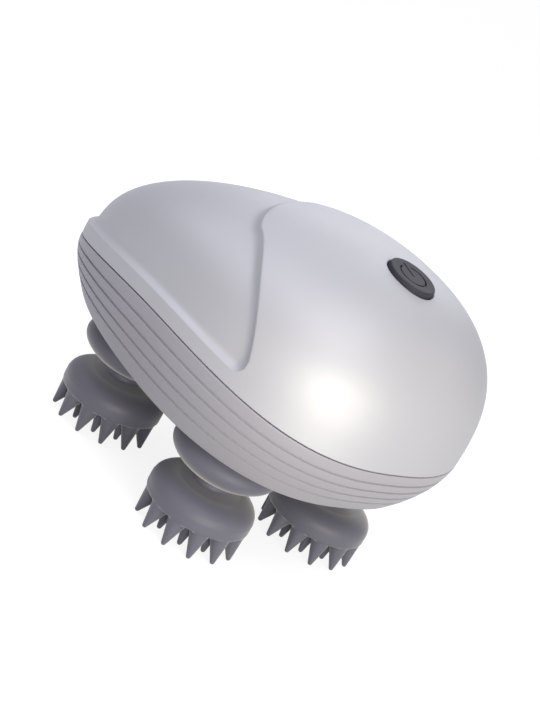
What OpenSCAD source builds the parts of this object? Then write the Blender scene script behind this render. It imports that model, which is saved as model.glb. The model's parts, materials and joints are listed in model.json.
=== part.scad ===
// Electric scalp massager: an egg-shaped shell on four turning claw heads.
// +X is the nose with the button, +Z is up, Z = 0 is the plane of the claw tips,
// and the origin is below the middle of the body's outline.

/* [Body] */
// Length from the widest station to the nose
nose_len = 55.8; // [54:0.1:68]
// Length from the widest station to the tail
tail_len = 61; // [58:0.1:74]
// Overall width of the body
body_w = 88.9; // [87:0.1:108]
// Height of the upper shell above the parting line
dome_h = 33.15; // [31:0.05:40]
// Height of the parting line above the claw tips, at the widest station
parting_z = 45.5; // [45.5:0.1:52]
// Depth of the ribbed lower shell under the parting line
bowl_h = 17.9; // [17:0.1:19]
// How far the crown of the dome lies ahead of the widest station
crown_x = 28.1; // [18:0.1:32]
// Squareness of the nose outline, where 2 is an ellipse
nose_n = 2.54; // [2:0.01:3]
// Squareness of the tail outline
tail_n = 2.15; // [2:0.01:2.6]
// Wall of both shells
wall = 2.4; // [2:0.1:3]

/* [Grip recess] */
// Depth of the grip recess over the tail
recess_d = 1.8; // [1:0.1:2.4]
// Height of the rim strip left under the recess
rim_strip = 3.7; // [3:0.1:6]

/* [Heads] */
// Distance between front and rear head axes
pitch_x = 44.4; // [43:0.1:46]
// Radius of the ring of outer claw tips
claw_ring_r = 12.9; // [10.8:0.1:13.2]
// Radius of the claw head's rim
rim_r = 13.5; // [13.2:0.1:14]
// Length of the claws under the rim
claw_len = 7; // [6:0.1:7.6]
// Radius of the fixed round neck above each claw head
dome_r = 13.75; // [12.5:0.05:14.8]
// Diameter of the head shafts
shaft_d = 4; // [4:0.5:5]

/* [Button] */
// Diameter of the power button
button_d = 12.6; // [12:0.1:17.6]
// Travel of the power button
button_travel = 0.8; // [0.5:0.1:1.2]
// Lean of the button towards the nose
button_lean = 10; // [6:1:12]

/* [Drive] */
// Teeth on each head gear, of module 1
head_teeth = 30; // [28:1:30]
// Teeth on each small pinion
pinion_teeth = 12; // [11:1:13]
// Diameter of the motor can
motor_d = 24.4; // [20:0.1:25]
// Length of the motor can
motor_len = 14; // [12:0.5:16]
// Diameter of the battery cell
cell_d = 18; // [14:0.5:18]
// Length of the battery cell
cell_len = 50; // [40:1:51]

/* [Hidden] */

// Running clearance of a shaft in its bore, on the radius
run = 0.05;
// Gap left between neighbouring pieces that don't touch
gap = 0.3;

// Outline and frame
half_w = body_w / 2;
wide_x = (tail_len - nose_len) / 2;
tail_x = wide_x - tail_len;
head_mid_x = wide_x + 3.8;
part_tilt = 0.04;
part_bow = 0.0026;
bow_limit = 64;
dome_p = 1.03;
dome_q = 0.703;
bowl_taper = 0.11;
bowl_curve = 1.89;
bowl_shift = -1.84;
base_tilt = 0.05;
outline_steps = 72;
dome_steps = 22;
// Grooves of the lower shell, as fractions of its depth
first_groove = 0.2;
groove_pitch = 0.177;
grooves = [for (k = [0:3]) first_groove + groove_pitch * k];
groove_d = 0.5;
groove_half = 0.022;
// Half the gap between the shells
seam = 0.15;
// Channel for the gasket in the lower shell's rim: its edges' depths in the wall and its own depth
channel_out = 0.7;
channel_in = wall - channel_out;
channel_d = 0.9;
gasket_slack = 0.02;

// Reach of the recess: over the dome and round the body from the tail
recess_top = 0.745;
recess_side = 124.5;
recess_soft = 0.14;

// Height of the drive's layers
base_t = 2.6;
base_top_z = 33;
gear_z = 35;
gear_t = 3.6;
lower_plate_z = 40;
plate_t = 1.8;
drive_z = 42.2;
drive_t = 2.6;
reduction_z = 45.2;
reduction_t = 2.2;
upper_plate_z = 48;
motor_z = upper_plate_z + plate_t;

// Gear sizes: a sun gear in the middle turns the four head gears alike
press = 25;
backlash = 0.16;
head_module = 1;
sun_teeth = 30;
drive_module = 0.6;
drive_teeth = 60;
reduction_module = 0.5;
reduction_teeth = 72;
drive_reach = drive_module * (drive_teeth + pinion_teeth) / 2;
motor_reach = reduction_module * (reduction_teeth + pinion_teeth) / 2;
head_reach = head_module * (sun_teeth + head_teeth) / 2;
pitch_y = 2 * sqrt(pow(head_reach, 2) - pow(pitch_x / 2, 2));
// A tooth reaches this share of the module beyond the pitch circle
addendum = 0.95;
drive_tip_r = drive_module * (drive_teeth / 2 + addendum);

// Head axes: 1 nose right, 2 nose left, 3 tail left, 4 tail right
HEADS = [for (q = [[1, -1], [1, 1], [-1, 1], [-1, -1]])
    [head_mid_x + q[0] * pitch_x / 2, q[1] * pitch_y / 2]];
sun_xy = [head_mid_x, 0];
mid_turn = 180;
mid_xy = sun_xy + drive_reach * [cos(mid_turn), sin(mid_turn)];
motor_turn = 30;
motor_xy = mid_xy + motor_reach * [cos(motor_turn), sin(motor_turn)];

// Heights of a claw head
rim_z = claw_len;
rim_top_z = rim_z + 3;
cap_top_z = rim_z + 6.7;
crown_top_z = cap_top_z + 0.5;
dome_z = 22.25;
dome_half_h = 6;
dome_wall = 2;
dome_mouth_r = 5.8;
neck_r = 8.8;
shaft_r = shaft_d / 2;
hub_r = shaft_r + 2.4;
hub_top_z = 21.6;
shaft_low_z = rim_z + 3.2;
shaft_top_z = gear_z + gear_t + 0.8;
bush_r = shaft_r + 1.6;
boss_r = bush_r + 2.4;
boss_low_z = 22.6;
seal_t = 1.4;
outer_claws = 12;
inner_claws = 8;
claw_phase = -119.7;
inner_phase = -89;
inner_ring_r = 8.2;

// Axles of the two middle gears
axle_r = 1.5;

// Cell, clear of the drive gear, with a strap over it
cell_r = cell_d / 2;
strap_t = 0.9;
strap_gap = 0.15;
strap_w = 8;
cell_x = sun_xy[0] + drive_tip_r + cell_r + strap_gap + strap_t + 0.58;
cell_z = 54.2;
cradle_z = 44.2;
cradle_h = 8;

// Fixing points
SCREWS = [for (side = [-1, 1]) each [[head_mid_x, side * (half_w - 11)], [tail_x + 15.4, side * 12]]];
post_y = 25;
nose_post_x = cell_x + 2.4;
tail_post_x = head_mid_x - 33.4;
POSTS = [[nose_post_x, 0], [head_mid_x, post_y], [head_mid_x, -post_y], [tail_post_x, 0]];
standoff_y = 22.5;
standoff_x = -14.4;
standoff_turn = 50.5;
tail_standoff_x = mid_xy[0] - 22.2;
post_r = 3;
standoff_r = 2.2;
standoff_reach = drive_tip_r + standoff_r + 0.6;
STANDOFFS = concat([[tail_standoff_x, 0]],
    [for (side = [-1, 1]) each [sun_xy + [standoff_x, side * standoff_y],
        sun_xy + standoff_reach * [cos(standoff_turn), side * sin(standoff_turn)]]]);
screw_boss_r = 3.4;
screw_r = 1.3;
screw_head_r = 2.5;
screw_head_h = 1.2;
// Depth of the pockets that sink the heads into the base plate
screw_pocket = 1.4;

// Button
button_x = wide_x + 29.6;
button_z = 77.2;
button_r = button_d / 2;
button_proud = 1.2;
button_skirt = 2.4;
cavity_r = button_r - 1.6;
cavity_top = -0.7;
stem_r = 2.4;
button_gap = 0.25;
// Cup under the shell that guides the button's stem and seats its spring
cup_r = button_r + 1.3;
flange_r = cup_r + 1.2;
// Fall of the shell's inner face below the button, per square of the radius
shell_fall = 0.018;
flange_top = 0.4 - wall - shell_fall * pow(flange_r, 2);
cup_top = flange_top + 0.3;
cup_floor = flange_top - 0.17;
cup_low = cup_floor - 0.8;
board_post_r = 2;
board_post_x = flange_r + board_post_r + 0.4;
board_screw_r = 0.9;
board_screw_len = 4.6;
board_top = -9.4;
board_t = 1.6;
board_half_x = board_post_x + 2.6;
board_half_y = 10.5;
switch_h = 3.5;
stem_low = board_top + switch_h + button_travel + 0.05;

// Socket in the tail, on a board that lies on the lower gear plate
charge_board_z = lower_plate_z + plate_t;
charge_board_t = 1.2;
socket_len = 7.3;
socket_w = 9;
socket_h = 3.2;
socket_z = charge_board_z + charge_board_t + socket_h / 2;
// Shell's outer face at the socket's height, with the socket's mouth sunk behind it
tail_face = lifted(dome_at(180, tail_level(socket_z), 0), seam)[0];
socket_sink = 1.24;
socket_x = tail_face + socket_sink;
charge_board_x = socket_x + 2.2;
cover_t = 1.1;
cover_lift = 0.1;
cover_w = 12.4;
cover_h = 6.4;
cover_cells = 8;

core_steps = 14;
hub_flats = 6;
sun_hub_r = 3.6;
collar_r = 2.7;
screw_grip = 9;
rib_t = 1.8;
rib_len = 16;
axle_low_z = 30.4;
motor_shaft_r = 1;
motor_bore_h = 8;
motor_seat_h = 5;
spring_r = 4;
spring_wire = 0.2;
spring_turns = 2;
claw_tip_r = 0.65;
claw_foot_r = 2.9;
inner_foot_r = 2.2;
cap_r = 8;

// ---- Outline of the body -------------------------------------------------

function sgn_pow(v, e) = (v < 0 ? -1 : 1) * pow(abs(v), e);
// Point of the outline at angle a, measured from the widest station
function outline(a, inset) =
    let (c = cos(a), n = c > 0 ? nose_n : tail_n)
    let (reach = (c > 0 ? nose_len : tail_len) - inset)
    [reach * sgn_pow(c, 2 / n), (half_w - inset) * sgn_pow(sin(a), 2 / n)];
function bow(x) = x / pow(1 + pow(x / bow_limit, 6), 1 / 6);
function parting(x) = parting_z + part_tilt * x - part_bow * pow(bow(x), 2);
function smooth(v) = let (u = max(0, min(1, v))) u * u * (3 - 2 * u);

// Upper shell: t runs from 0 at the parting line to 1 at the crown
function plain_dome(a, t, inset) =
    let (s = pow(cos(90 * t), dome_p), h = pow(sin(90 * t), dome_q), o = outline(a, inset))
    let (x = o[0] * s + crown_x * (1 - s))
    [x, o[1] * s, parting(x) + (dome_h - inset) * h];
function dome_normal(a, t, inset) =
    let (da = plain_dome(a + 1, t, inset) - plain_dome(a - 1, t, inset))
    let (dt = plain_dome(a, t + 0.01, inset) - plain_dome(a, t - 0.01, inset))
    let (n = cross(da, dt)) n / norm(n);
// Share of the recess depth that applies at a point
function recess(a, t) =
    let (turn = abs(180 - a), rise = dome_h * pow(sin(90 * t), dome_q))
    let (edge = 1 - pow(t / recess_top, 1.55) - pow(turn / recess_side, 2.7))
    smooth(edge / recess_soft) * smooth((rise - rim_strip) / 1.4);
function dome_at(a, t, inset) =
    t <= 0.011 ? plain_dome(a, t, inset) :
    plain_dome(a, t, inset) - recess_d * recess(a, t) * dome_normal(a, t, inset);

// Lower shell: t runs from 0 at the parting line to 1 at the bottom edge
function bowl_at(a, t, inset, cut = 0) =
    let (s = 1 - bowl_taper * pow(t, bowl_curve), o = outline(a, inset + cut))
    let (x = o[0] * s + bowl_shift * t)
    [x, o[1] * s, parting(x) * (1 - t) + (parting_z - bowl_h - base_tilt * x) * t];

function angles() = [for (i = [0:outline_steps - 1]) 360 * i / outline_steps];
function lifted(p, dz) = [p[0] + wide_x, p[1], p[2] + dz];

// Faces between two rings of n points that start at indices a and b, a above b
function strip(a, b, n) =
    [for (i = [0:n - 1]) let (j = (i + 1) % n) each [[a + i, a + j, b + j], [a + i, b + j, b + i]]];
// Faces from a ring up to a pole, and the same turned inside out
function fan(a, pole, n) = [for (i = [0:n - 1]) [a + i, pole, a + (i + 1) % n]];
function under_fan(a, pole, n) = [for (i = [0:n - 1]) [a + (i + 1) % n, pole, a + i]];

// Closed band of rings: down the outside, up the inside and back to the first
module ring_band(rings) {
    n = len(rings[0]);
    m = len(rings);
    polyhedron(points = [for (r = rings) each r],
        faces = [for (k = [0:m - 1]) each strip(k * n, ((k + 1) % m) * n, n)]);
}

// ---- Shells --------------------------------------------------------------

// Heights of the dome's rings, closer together near the parting line
function dome_levels(steps) = [for (i = [0:steps - 1]) 0.985 * pow(i / (steps - 1), 1.35)];
function dome_ring(t, inset) = [for (a = angles()) lifted(dome_at(a, t, inset), seam)];
function crown(inset) = [wide_x + crown_x, 0, parting(crown_x) + dome_h - inset + seam];

// Hollow dome with an open rim at the parting line
module dome_shell() {
    n = outline_steps;
    m = dome_steps;
    levels = dome_levels(m);
    outer = [for (t = levels) dome_ring(t, 0)];
    inner = [for (t = levels) dome_ring(t, wall)];
    outer_pole = 2 * m * n;
    polyhedron(
        points = concat([for (r = outer) each r], [for (r = inner) each r], [crown(0), crown(wall)]),
        faces = concat(
            [for (k = [0:m - 2]) each strip((k + 1) * n, k * n, n)],
            fan((m - 1) * n, outer_pole, n),
            [for (k = [0:m - 2]) each strip((m + k) * n, (m + k + 1) * n, n)],
            under_fan((2 * m - 1) * n, outer_pole + 1, n),
            strip(0, m * n, n)));
}

// Solid that fills the dome to the middle of its wall, with its floor at the parting line
module dome_core() {
    n = outline_steps;
    levels = dome_levels(core_steps);
    rings = [for (t = levels) dome_ring(t, wall / 2)];
    last = core_steps * n;
    polyhedron(
        points = concat([for (r = rings) each r], [crown(wall / 2), [wide_x, 0, parting_z]]),
        faces = concat(
            [for (k = [0:core_steps - 2]) each strip((k + 1) * n, k * n, n)],
            fan(last - n, last, n),
            under_fan(0, last + 1, n)));
}

// Place of the button: its own frame, with the shell's surface near z = 0
module at_button() {
    translate([button_x, 0, button_z]) rotate([0, button_lean, 0]) children();
}

// Round pieces at the board's two fixing points, in the button's frame
module board_fixings(r, low, high) {
    at_button() for (side = [-1, 1]) translate([side * board_post_x, 0, low])
        cylinder(r = r, h = high - low, $fn = 32);
}

module screw_posts(r, low, high) {
    for (p = SCREWS) translate([p[0], p[1], low]) cylinder(r = r, h = high - low, $fn = 32);
}

module top_shell() color([0.86, 0.86, 0.88]) {
    difference() {
        union() {
            dome_shell();
            intersection() {
                dome_core();
                union() {
                    for (p = SCREWS) translate([p[0], p[1], parting(p[0] - wide_x) + 0.6])
                        cylinder(r = screw_boss_r, h = dome_h, $fn = 32);
                    board_fixings(board_post_r, board_top, 0);
                }
            }
        }
        for (p = SCREWS) translate([p[0], p[1], parting(p[0] - wide_x) - 2])
            cylinder(r = screw_r, h = screw_grip + 3, $fn = 32);
        board_fixings(board_screw_r, board_top - 1, board_top + board_screw_len);
        at_button() translate([0, 0, -6]) cylinder(r = button_r + button_gap, h = 12, $fn = 64);
        translate([socket_x - 9, -socket_w / 2 - 0.2, socket_z - socket_h / 2 - 0.2])
            cube([13.2, socket_w + 0.4, socket_h + 0.4]);
    }
}

// Levels of the lower shell's outer rings, each with its depth of cut
function bowl_levels() = concat([[0, 0], [0.1, 0]],
    [for (g = grooves) each [[g - groove_half, 0], [g, groove_d], [g + groove_half, 0]]],
    [[0.87, 0], [0.94, 0], [1, 0]]);
function bowl_ring(t, inset, cut = 0, drop = 0) =
    [for (a = angles()) lifted(bowl_at(a, t, inset, cut), -drop)];

module bottom_shell() color([0.68, 0.67, 0.72]) {
    difference() {
        union() {
            ring_band(concat(
                [for (l = bowl_levels()) bowl_ring(l[0], 0, l[1], seam * (1 - l[0]))],
                [for (t = [1, 0.8, 0.55, 0.3, 0]) bowl_ring(t, wall, 0, seam * (1 - t))],
                [bowl_ring(0, channel_in, 0, seam), bowl_ring(0, channel_in, 0, seam + channel_d),
                    bowl_ring(0, channel_out, 0, seam + channel_d), bowl_ring(0, channel_out, 0, seam)]));
            intersection() {
                bowl_core();
                for (p = SCREWS) {
                    foot = base_height(p[0]) + 0.2;
                    top = parting(p[0] - wide_x) - 0.4;
                    out = p[0] < 0 ? 180 : sign(p[1]) * 90;
                    translate([p[0], p[1], foot]) cylinder(r = screw_boss_r, h = top - foot, $fn = 32);
                    translate([p[0], p[1], foot + 0.6]) rotate([0, 0, out])
                        translate([0, -rib_t / 2, 0]) cube([rib_len, rib_t, top - foot - 1.4]);
                }
            }
        }
        screw_posts(screw_r + 0.2, 20, 60);
        // Relief in the wall for the tips of the head gears' teeth
        for (p = HEADS) translate([p[0], p[1], gear_z - gap]) cylinder(
            r = head_module * (head_teeth / 2 + addendum) + gap, h = gear_t + 2 * gap, $fn = 96);
    }
}

// Solid that fills the lower shell and reaches a little into its wall, short of the channel
module bowl_core() {
    n = outline_steps;
    rings = [for (t = [0, 0.25, 0.5, 0.75, 1]) bowl_ring(t, wall - gap, 0, seam * (1 - t))];
    last = len(rings) * n;
    polyhedron(
        points = concat([for (r = rings) each r],
            [[wide_x, 0, parting_z + 2], [wide_x, 0, parting_z - bowl_h - 1]]),
        faces = concat(
            [for (k = [0:len(rings) - 2]) each strip(k * n, (k + 1) * n, n)],
            fan(0, last, n),
            under_fan(last - n, last + 1, n)));
}

// Height of the base plate's upper face over a station
function base_height(x) = parting_z - bowl_h - base_tilt * (x - wide_x) + base_t + 0.02;

// Place of the base plate's underside, level with the lower shell's bottom edge
module at_base() {
    translate([wide_x, 0, parting_z - bowl_h]) rotate([0, atan(base_tilt), 0]) children();
}

module base_plate() color([0.42, 0.42, 0.48]) {
    outline_xy = [for (a = angles()) let (p = bowl_at(a, 1, wall + gap)) [p[0], p[1]]];
    difference() {
        union() {
            at_base() linear_extrude(base_t) polygon(outline_xy);
            for (p = HEADS) translate([p[0], p[1], boss_low_z])
                cylinder(r = boss_r, h = base_top_z - boss_low_z, $fn = 64);
            for (p = POSTS) translate([p[0], p[1], base_height(p[0]) - 1.6])
                cylinder(r = post_r, h = lower_plate_z - base_height(p[0]) + 1.6, $fn = 48);
            translate([sun_xy[0], sun_xy[1], base_height(sun_xy[0]) - 1.6])
                cylinder(r = axle_r + 1.9, h = gear_z - 0.4 - base_height(sun_xy[0]) + 1.6, $fn = 48);
        }
        for (p = HEADS) translate([p[0], p[1], boss_low_z - 1])
            cylinder(r = bush_r, h = base_top_z - boss_low_z + 2, $fn = 64);
        for (p = POSTS) translate([p[0], p[1], lower_plate_z - 8]) cylinder(r = 1, h = 9, $fn = 32);
        translate([sun_xy[0], sun_xy[1], axle_low_z]) cylinder(r = axle_r, h = 20, $fn = 32);
        screw_posts(screw_r + 0.2, 20, 40);
        for (p = SCREWS) translate([p[0], p[1], base_height(p[0]) - base_t - 3])
            cylinder(r = screw_head_r + 0.2, h = screw_pocket + 3, $fn = 32);
    }
}

module parting_gasket() color([0.16, 0.16, 0.18]) {
    out = channel_out + gasket_slack;
    in = channel_in - gasket_slack;
    high = seam - gasket_slack / 2;
    low = gasket_slack - seam - channel_d;
    ring_band([bowl_ring(0, out, 0, -high), bowl_ring(0, out, 0, -low),
        bowl_ring(0, in, 0, -low), bowl_ring(0, in, 0, -high)]);
}

// ---- Button --------------------------------------------------------------

module button_bezel() color([0.22, 0.22, 0.26]) at_button() difference() {
    union() {
        translate([0, 0, cup_low]) cylinder(r = cup_r, h = cup_top - cup_low, $fn = 64);
        translate([0, 0, cup_low]) cylinder(r = flange_r, h = flange_top - cup_low, $fn = 64);
    }
    translate([0, 0, cup_floor]) cylinder(r = button_r + button_gap, h = 10, $fn = 64);
    translate([0, 0, cup_low - 1]) cylinder(r = stem_r + run, h = 4, $fn = 48);
}

module power_button() color([0.27, 0.26, 0.32]) at_button() {
    difference() {
        union() {
            translate([0, 0, -button_skirt]) cylinder(r = button_r, h = button_skirt + 0.4, $fn = 64);
            translate([0, 0, 0.4])
                cylinder(r1 = button_r, r2 = button_r - 0.8, h = button_proud - 0.4, $fn = 64);
        }
        translate([0, 0, -button_skirt - 1])
            cylinder(r = cavity_r, h = button_skirt + 1 + cavity_top, $fn = 64);
    }
    translate([0, 0, stem_low]) cylinder(r = stem_r, h = cavity_top - stem_low + 0.3, $fn = 48);
}

// Coil of wire drawn at its pressed length, so that the cap clears it over its travel
module button_spring() color([0.75, 0.76, 0.78]) at_button() {
    steps = 36;
    sides = 8;
    free = cavity_top - cup_floor - button_travel - 0.1 - 2 * spring_wire;
    rings = [for (i = [0:steps])
        let (turn = 360 * spring_turns * i / steps, z = cup_floor + 0.03 + spring_wire + free * i / steps)
        [for (j = [0:sides - 1]) let (v = 360 * j / sides, r = spring_r + spring_wire * cos(v))
            [r * cos(turn), r * sin(turn), z + spring_wire * sin(v)]]];
    polyhedron(points = [for (r = rings) each r],
        faces = concat(
            [for (k = [0:steps - 1]) each strip(k * sides, (k + 1) * sides, sides)],
            [[for (j = [sides - 1:-1:0]) j]],
            [[for (j = [0:sides - 1]) steps * sides + j]]));
}

module main_board() color([0.12, 0.42, 0.26]) difference() {
    at_button() translate([-board_half_x, -board_half_y, board_top - board_t])
        cube([2 * board_half_x, 2 * board_half_y, board_t]);
    board_fixings(board_screw_r + 0.1, board_top - 3, board_top + 1);
}

// Controller, motor lead's plug and capacitor on the main board, and the charger chip
module board_parts() color([0.2, 0.2, 0.22]) {
    at_button() translate([0, 0, board_top]) {
        translate([4.6, 3.6, 0]) cube([5, 5, 1.1]);
        translate([-11, 4.4, 0]) cube([6, 4, 3]);
        translate([-7, -6.6, 0]) cylinder(r = 1.8, h = 2.6, $fn = 32);
        translate([4.6, -7.6, 0]) cube([3.2, 1.6, 0.8]);
    }
    translate([charge_board_x + 7.4, -2.6, charge_board_z + charge_board_t]) cube([3.4, 3.4, 0.9]);
    translate([charge_board_x + 7.4, 2.2, charge_board_z + charge_board_t]) cube([3.4, 3.4, 2.6]);
}

module board_screws() color([0.5, 0.5, 0.53]) {
    board_fixings(board_screw_r, board_top - board_t - 0.2, board_top + board_screw_len - 0.2);
    board_fixings(1.7, board_top - board_t - 1.1, board_top - board_t);
}

module tact_switch() color([0.15, 0.15, 0.16]) at_button() translate([0, 0, board_top]) {
    translate([-3, -3, 0]) cube([6, 6, switch_h - 0.7]);
    cylinder(r = 1.7, h = switch_h, $fn = 32);
}

// ---- Gears ---------------------------------------------------------------

function involute(x) = tan(x) - x * PI / 180;
// Half of a tooth's angle at radius q
function half_tooth(teeth, m, q) =
    let (r = m * teeth / 2, base = r * cos(press), slope = acos(min(1, base / max(base, q))))
    90 / teeth + (involute(press) - involute(slope) - backlash * m / (2 * r)) * 180 / PI;
function gear_points(teeth, m, phase) =
    let (r = m * teeth / 2, root = r - 1.25 * m, tip = r + addendum * m)
    let (start = max(root, r * cos(press)))
    let (flank = concat([root], [for (k = [0:3]) start + (tip - start) * (k + 0.1) / 3.1]))
    [for (i = [0:teeth - 1]) each concat(
        [for (q = flank) gear_point(i, teeth, m, phase, q, -1)],
        [for (k = [len(flank) - 1:-1:0]) gear_point(i, teeth, m, phase, flank[k], 1)])];
function gear_point(i, teeth, m, phase, q, side) =
    let (a = phase + 360 * i / teeth + side * half_tooth(teeth, m, q)) q * [cos(a), sin(a)];
// Phase of a gear that meshes with another one in direction dir
function meshed(phase, teeth, other, dir) =
    dir + 180 - 180 / other + (dir - phase) * teeth / other;
function bearing(p, q) = atan2(q[1] - p[1], q[0] - p[0]);

module gear(teeth, m, h, phase) {
    linear_extrude(h) polygon(gear_points(teeth, m, phase));
}
// Ring of five holes that lightens a gear's web
module gear_holes(ring_r, r, z, h) {
    for (k = [0:4]) rotate([0, 0, 72 * k + 18]) translate([ring_r, 0, z - 1])
        cylinder(r = r, h = h + 2, $fn = 48);
}

HEAD_PHASES = [for (p = HEADS) meshed(0, sun_teeth, head_teeth, bearing(sun_xy, p))];

module head_gear(i) color([0.93, 0.9, 0.82]) translate([HEADS[i][0], HEADS[i][1], 0]) difference() {
    union() {
        translate([0, 0, gear_z]) gear(head_teeth, head_module, gear_t, HEAD_PHASES[i]);
        translate([0, 0, base_top_z + 0.1]) cylinder(r = shaft_r + 3, h = gear_z - base_top_z + 0.4, $fn = 48);
    }
    translate([0, 0, base_top_z - 1]) cylinder(r = shaft_r, h = 20, $fn = 48);
    gear_holes(head_teeth * head_module * 0.3, 2.4, gear_z, gear_t);
}

module head_shaft(i) color([0.74, 0.75, 0.77]) translate([HEADS[i][0], HEADS[i][1], 0]) {
    translate([0, 0, shaft_low_z]) cylinder(r = shaft_r, h = gear_z + gear_t - shaft_low_z, $fn = 48);
    translate([0, 0, gear_z + gear_t - 0.1]) cylinder(r = shaft_r - 0.4, h = 0.9, $fn = 48);
}

module shaft_clip(i) color([0.3, 0.3, 0.32]) translate([HEADS[i][0], HEADS[i][1], gear_z + gear_t])
    difference() {
        cylinder(r = shaft_r + 1.6, h = 0.6, $fn = 48);
        translate([0, 0, -1]) cylinder(r = shaft_r - 0.4, h = 3, $fn = 48);
        translate([0, -0.9, -1]) cube([6, 1.8, 3]);
    }

module shaft_bush(i) color([0.72, 0.52, 0.3]) translate([HEADS[i][0], HEADS[i][1], 0]) difference() {
    translate([0, 0, boss_low_z + seal_t]) cylinder(r = bush_r, h = base_top_z - boss_low_z - seal_t, $fn = 64);
    translate([0, 0, boss_low_z]) cylinder(r = shaft_r + run, h = 20, $fn = 48);
}

module shaft_seals() color([0.1, 0.1, 0.11]) for (p = HEADS) translate([p[0], p[1], boss_low_z])
    difference() {
        cylinder(r = bush_r, h = seal_t - 0.02, $fn = 64);
        translate([0, 0, -1]) cylinder(r = shaft_r + run, h = 4, $fn = 48);
    }

// Hub of the central gear that carries the drive gear, with two flats
module keyed_hub(low, high) translate([0, 0, low]) intersection() {
    cylinder(r = sun_hub_r, h = high - low, $fn = 48);
    translate([-hub_flats / 2, -sun_hub_r, 0]) cube([hub_flats, 2 * sun_hub_r, high - low]);
}

module central_gear() color([0.93, 0.9, 0.82]) translate([sun_xy[0], sun_xy[1], 0]) difference() {
    union() {
        translate([0, 0, gear_z]) gear(sun_teeth, head_module, gear_t, 0);
        translate([0, 0, gear_z]) cylinder(r = sun_hub_r, h = drive_z - gear_z, $fn = 48);
        keyed_hub(drive_z - 1, drive_z + drive_t);
        translate([0, 0, drive_z]) cylinder(r = collar_r, h = upper_plate_z - gap - drive_z, $fn = 48);
    }
    translate([0, 0, gear_z - 1]) cylinder(r = axle_r + run, h = 20, $fn = 48);
    gear_holes(sun_teeth * head_module * 0.3, 2.4, gear_z, gear_t);
}

module drive_gear() color([0.93, 0.9, 0.82]) translate([sun_xy[0], sun_xy[1], 0]) difference() {
    translate([0, 0, drive_z]) gear(drive_teeth, drive_module, drive_t, 0);
    keyed_hub(drive_z - 1, drive_z + drive_t + 1);
    gear_holes(drive_teeth * drive_module * 0.3, 3.4, drive_z, drive_t);
}

module reduction_gear() color([0.93, 0.9, 0.82]) translate([mid_xy[0], mid_xy[1], 0]) difference() {
    union() {
        translate([0, 0, drive_z - 0.2]) gear(pinion_teeth, drive_module,
            reduction_z - drive_z + 0.4, meshed(0, drive_teeth, pinion_teeth, mid_turn));
        translate([0, 0, reduction_z]) gear(reduction_teeth, reduction_module, reduction_t, 0);
        translate([0, 0, reduction_z])
            cylinder(r = collar_r, h = upper_plate_z - gap - reduction_z, $fn = 48);
    }
    translate([0, 0, drive_z - 2]) cylinder(r = axle_r + run, h = 20, $fn = 48);
    gear_holes(reduction_teeth * reduction_module * 0.3, 3.2, reduction_z, reduction_t);
}

module motor_pinion() color([0.78, 0.62, 0.34]) translate([motor_xy[0], motor_xy[1], 0]) difference() {
    translate([0, 0, reduction_z - 0.1]) gear(pinion_teeth, reduction_module, reduction_t + gap,
        meshed(0, reduction_teeth, pinion_teeth, motor_turn));
    translate([0, 0, reduction_z - 2]) cylinder(r = motor_shaft_r, h = 20, $fn = 32);
}

module motor_shaft() color([0.74, 0.75, 0.77]) translate([motor_xy[0], motor_xy[1], reduction_z - 0.1])
    cylinder(r = motor_shaft_r, h = motor_z + motor_bore_h - 1 - reduction_z, $fn = 32);

module motor_can() color([0.66, 0.67, 0.69]) translate([motor_xy[0], motor_xy[1], motor_z]) difference() {
    union() {
        cylinder(r = motor_d / 2, h = motor_len, $fn = 64);
        translate([0, 0, -plate_t]) cylinder(r = 3, h = plate_t + 1, $fn = 48);
        translate([0, 0, motor_len - 0.5]) cylinder(r = 4, h = 1.5, $fn = 48);
        for (side = [-1, 1]) translate([side * 7 - 0.25, -1.2, motor_len - 0.5]) cube([0.5, 2.4, 3]);
    }
    translate([0, 0, -plate_t - 1])
        cylinder(r = motor_shaft_r + run, h = plate_t + 1 + motor_bore_h, $fn = 32);
}

module reduction_axle() color([0.74, 0.75, 0.77]) translate([mid_xy[0], mid_xy[1], lower_plate_z])
    cylinder(r = axle_r, h = upper_plate_z + plate_t - lower_plate_z, $fn = 32);

module drive_axle() color([0.74, 0.75, 0.77]) translate([sun_xy[0], sun_xy[1], axle_low_z])
    cylinder(r = axle_r, h = upper_plate_z + plate_t - axle_low_z, $fn = 32);

// Plate with round corners, from corner p to corner q
module round_plate(p, q, r, h) {
    translate([p[0] + r, p[1], 0]) cube([q[0] - p[0] - 2 * r, q[1] - p[1], h]);
    translate([p[0], p[1] + r, 0]) cube([q[0] - p[0], q[1] - p[1] - 2 * r, h]);
    for (x = [p[0] + r, q[0] - r], y = [p[1] + r, q[1] - r]) translate([x, y, 0])
        cylinder(r = r, h = h, $fn = 48);
}

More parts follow.
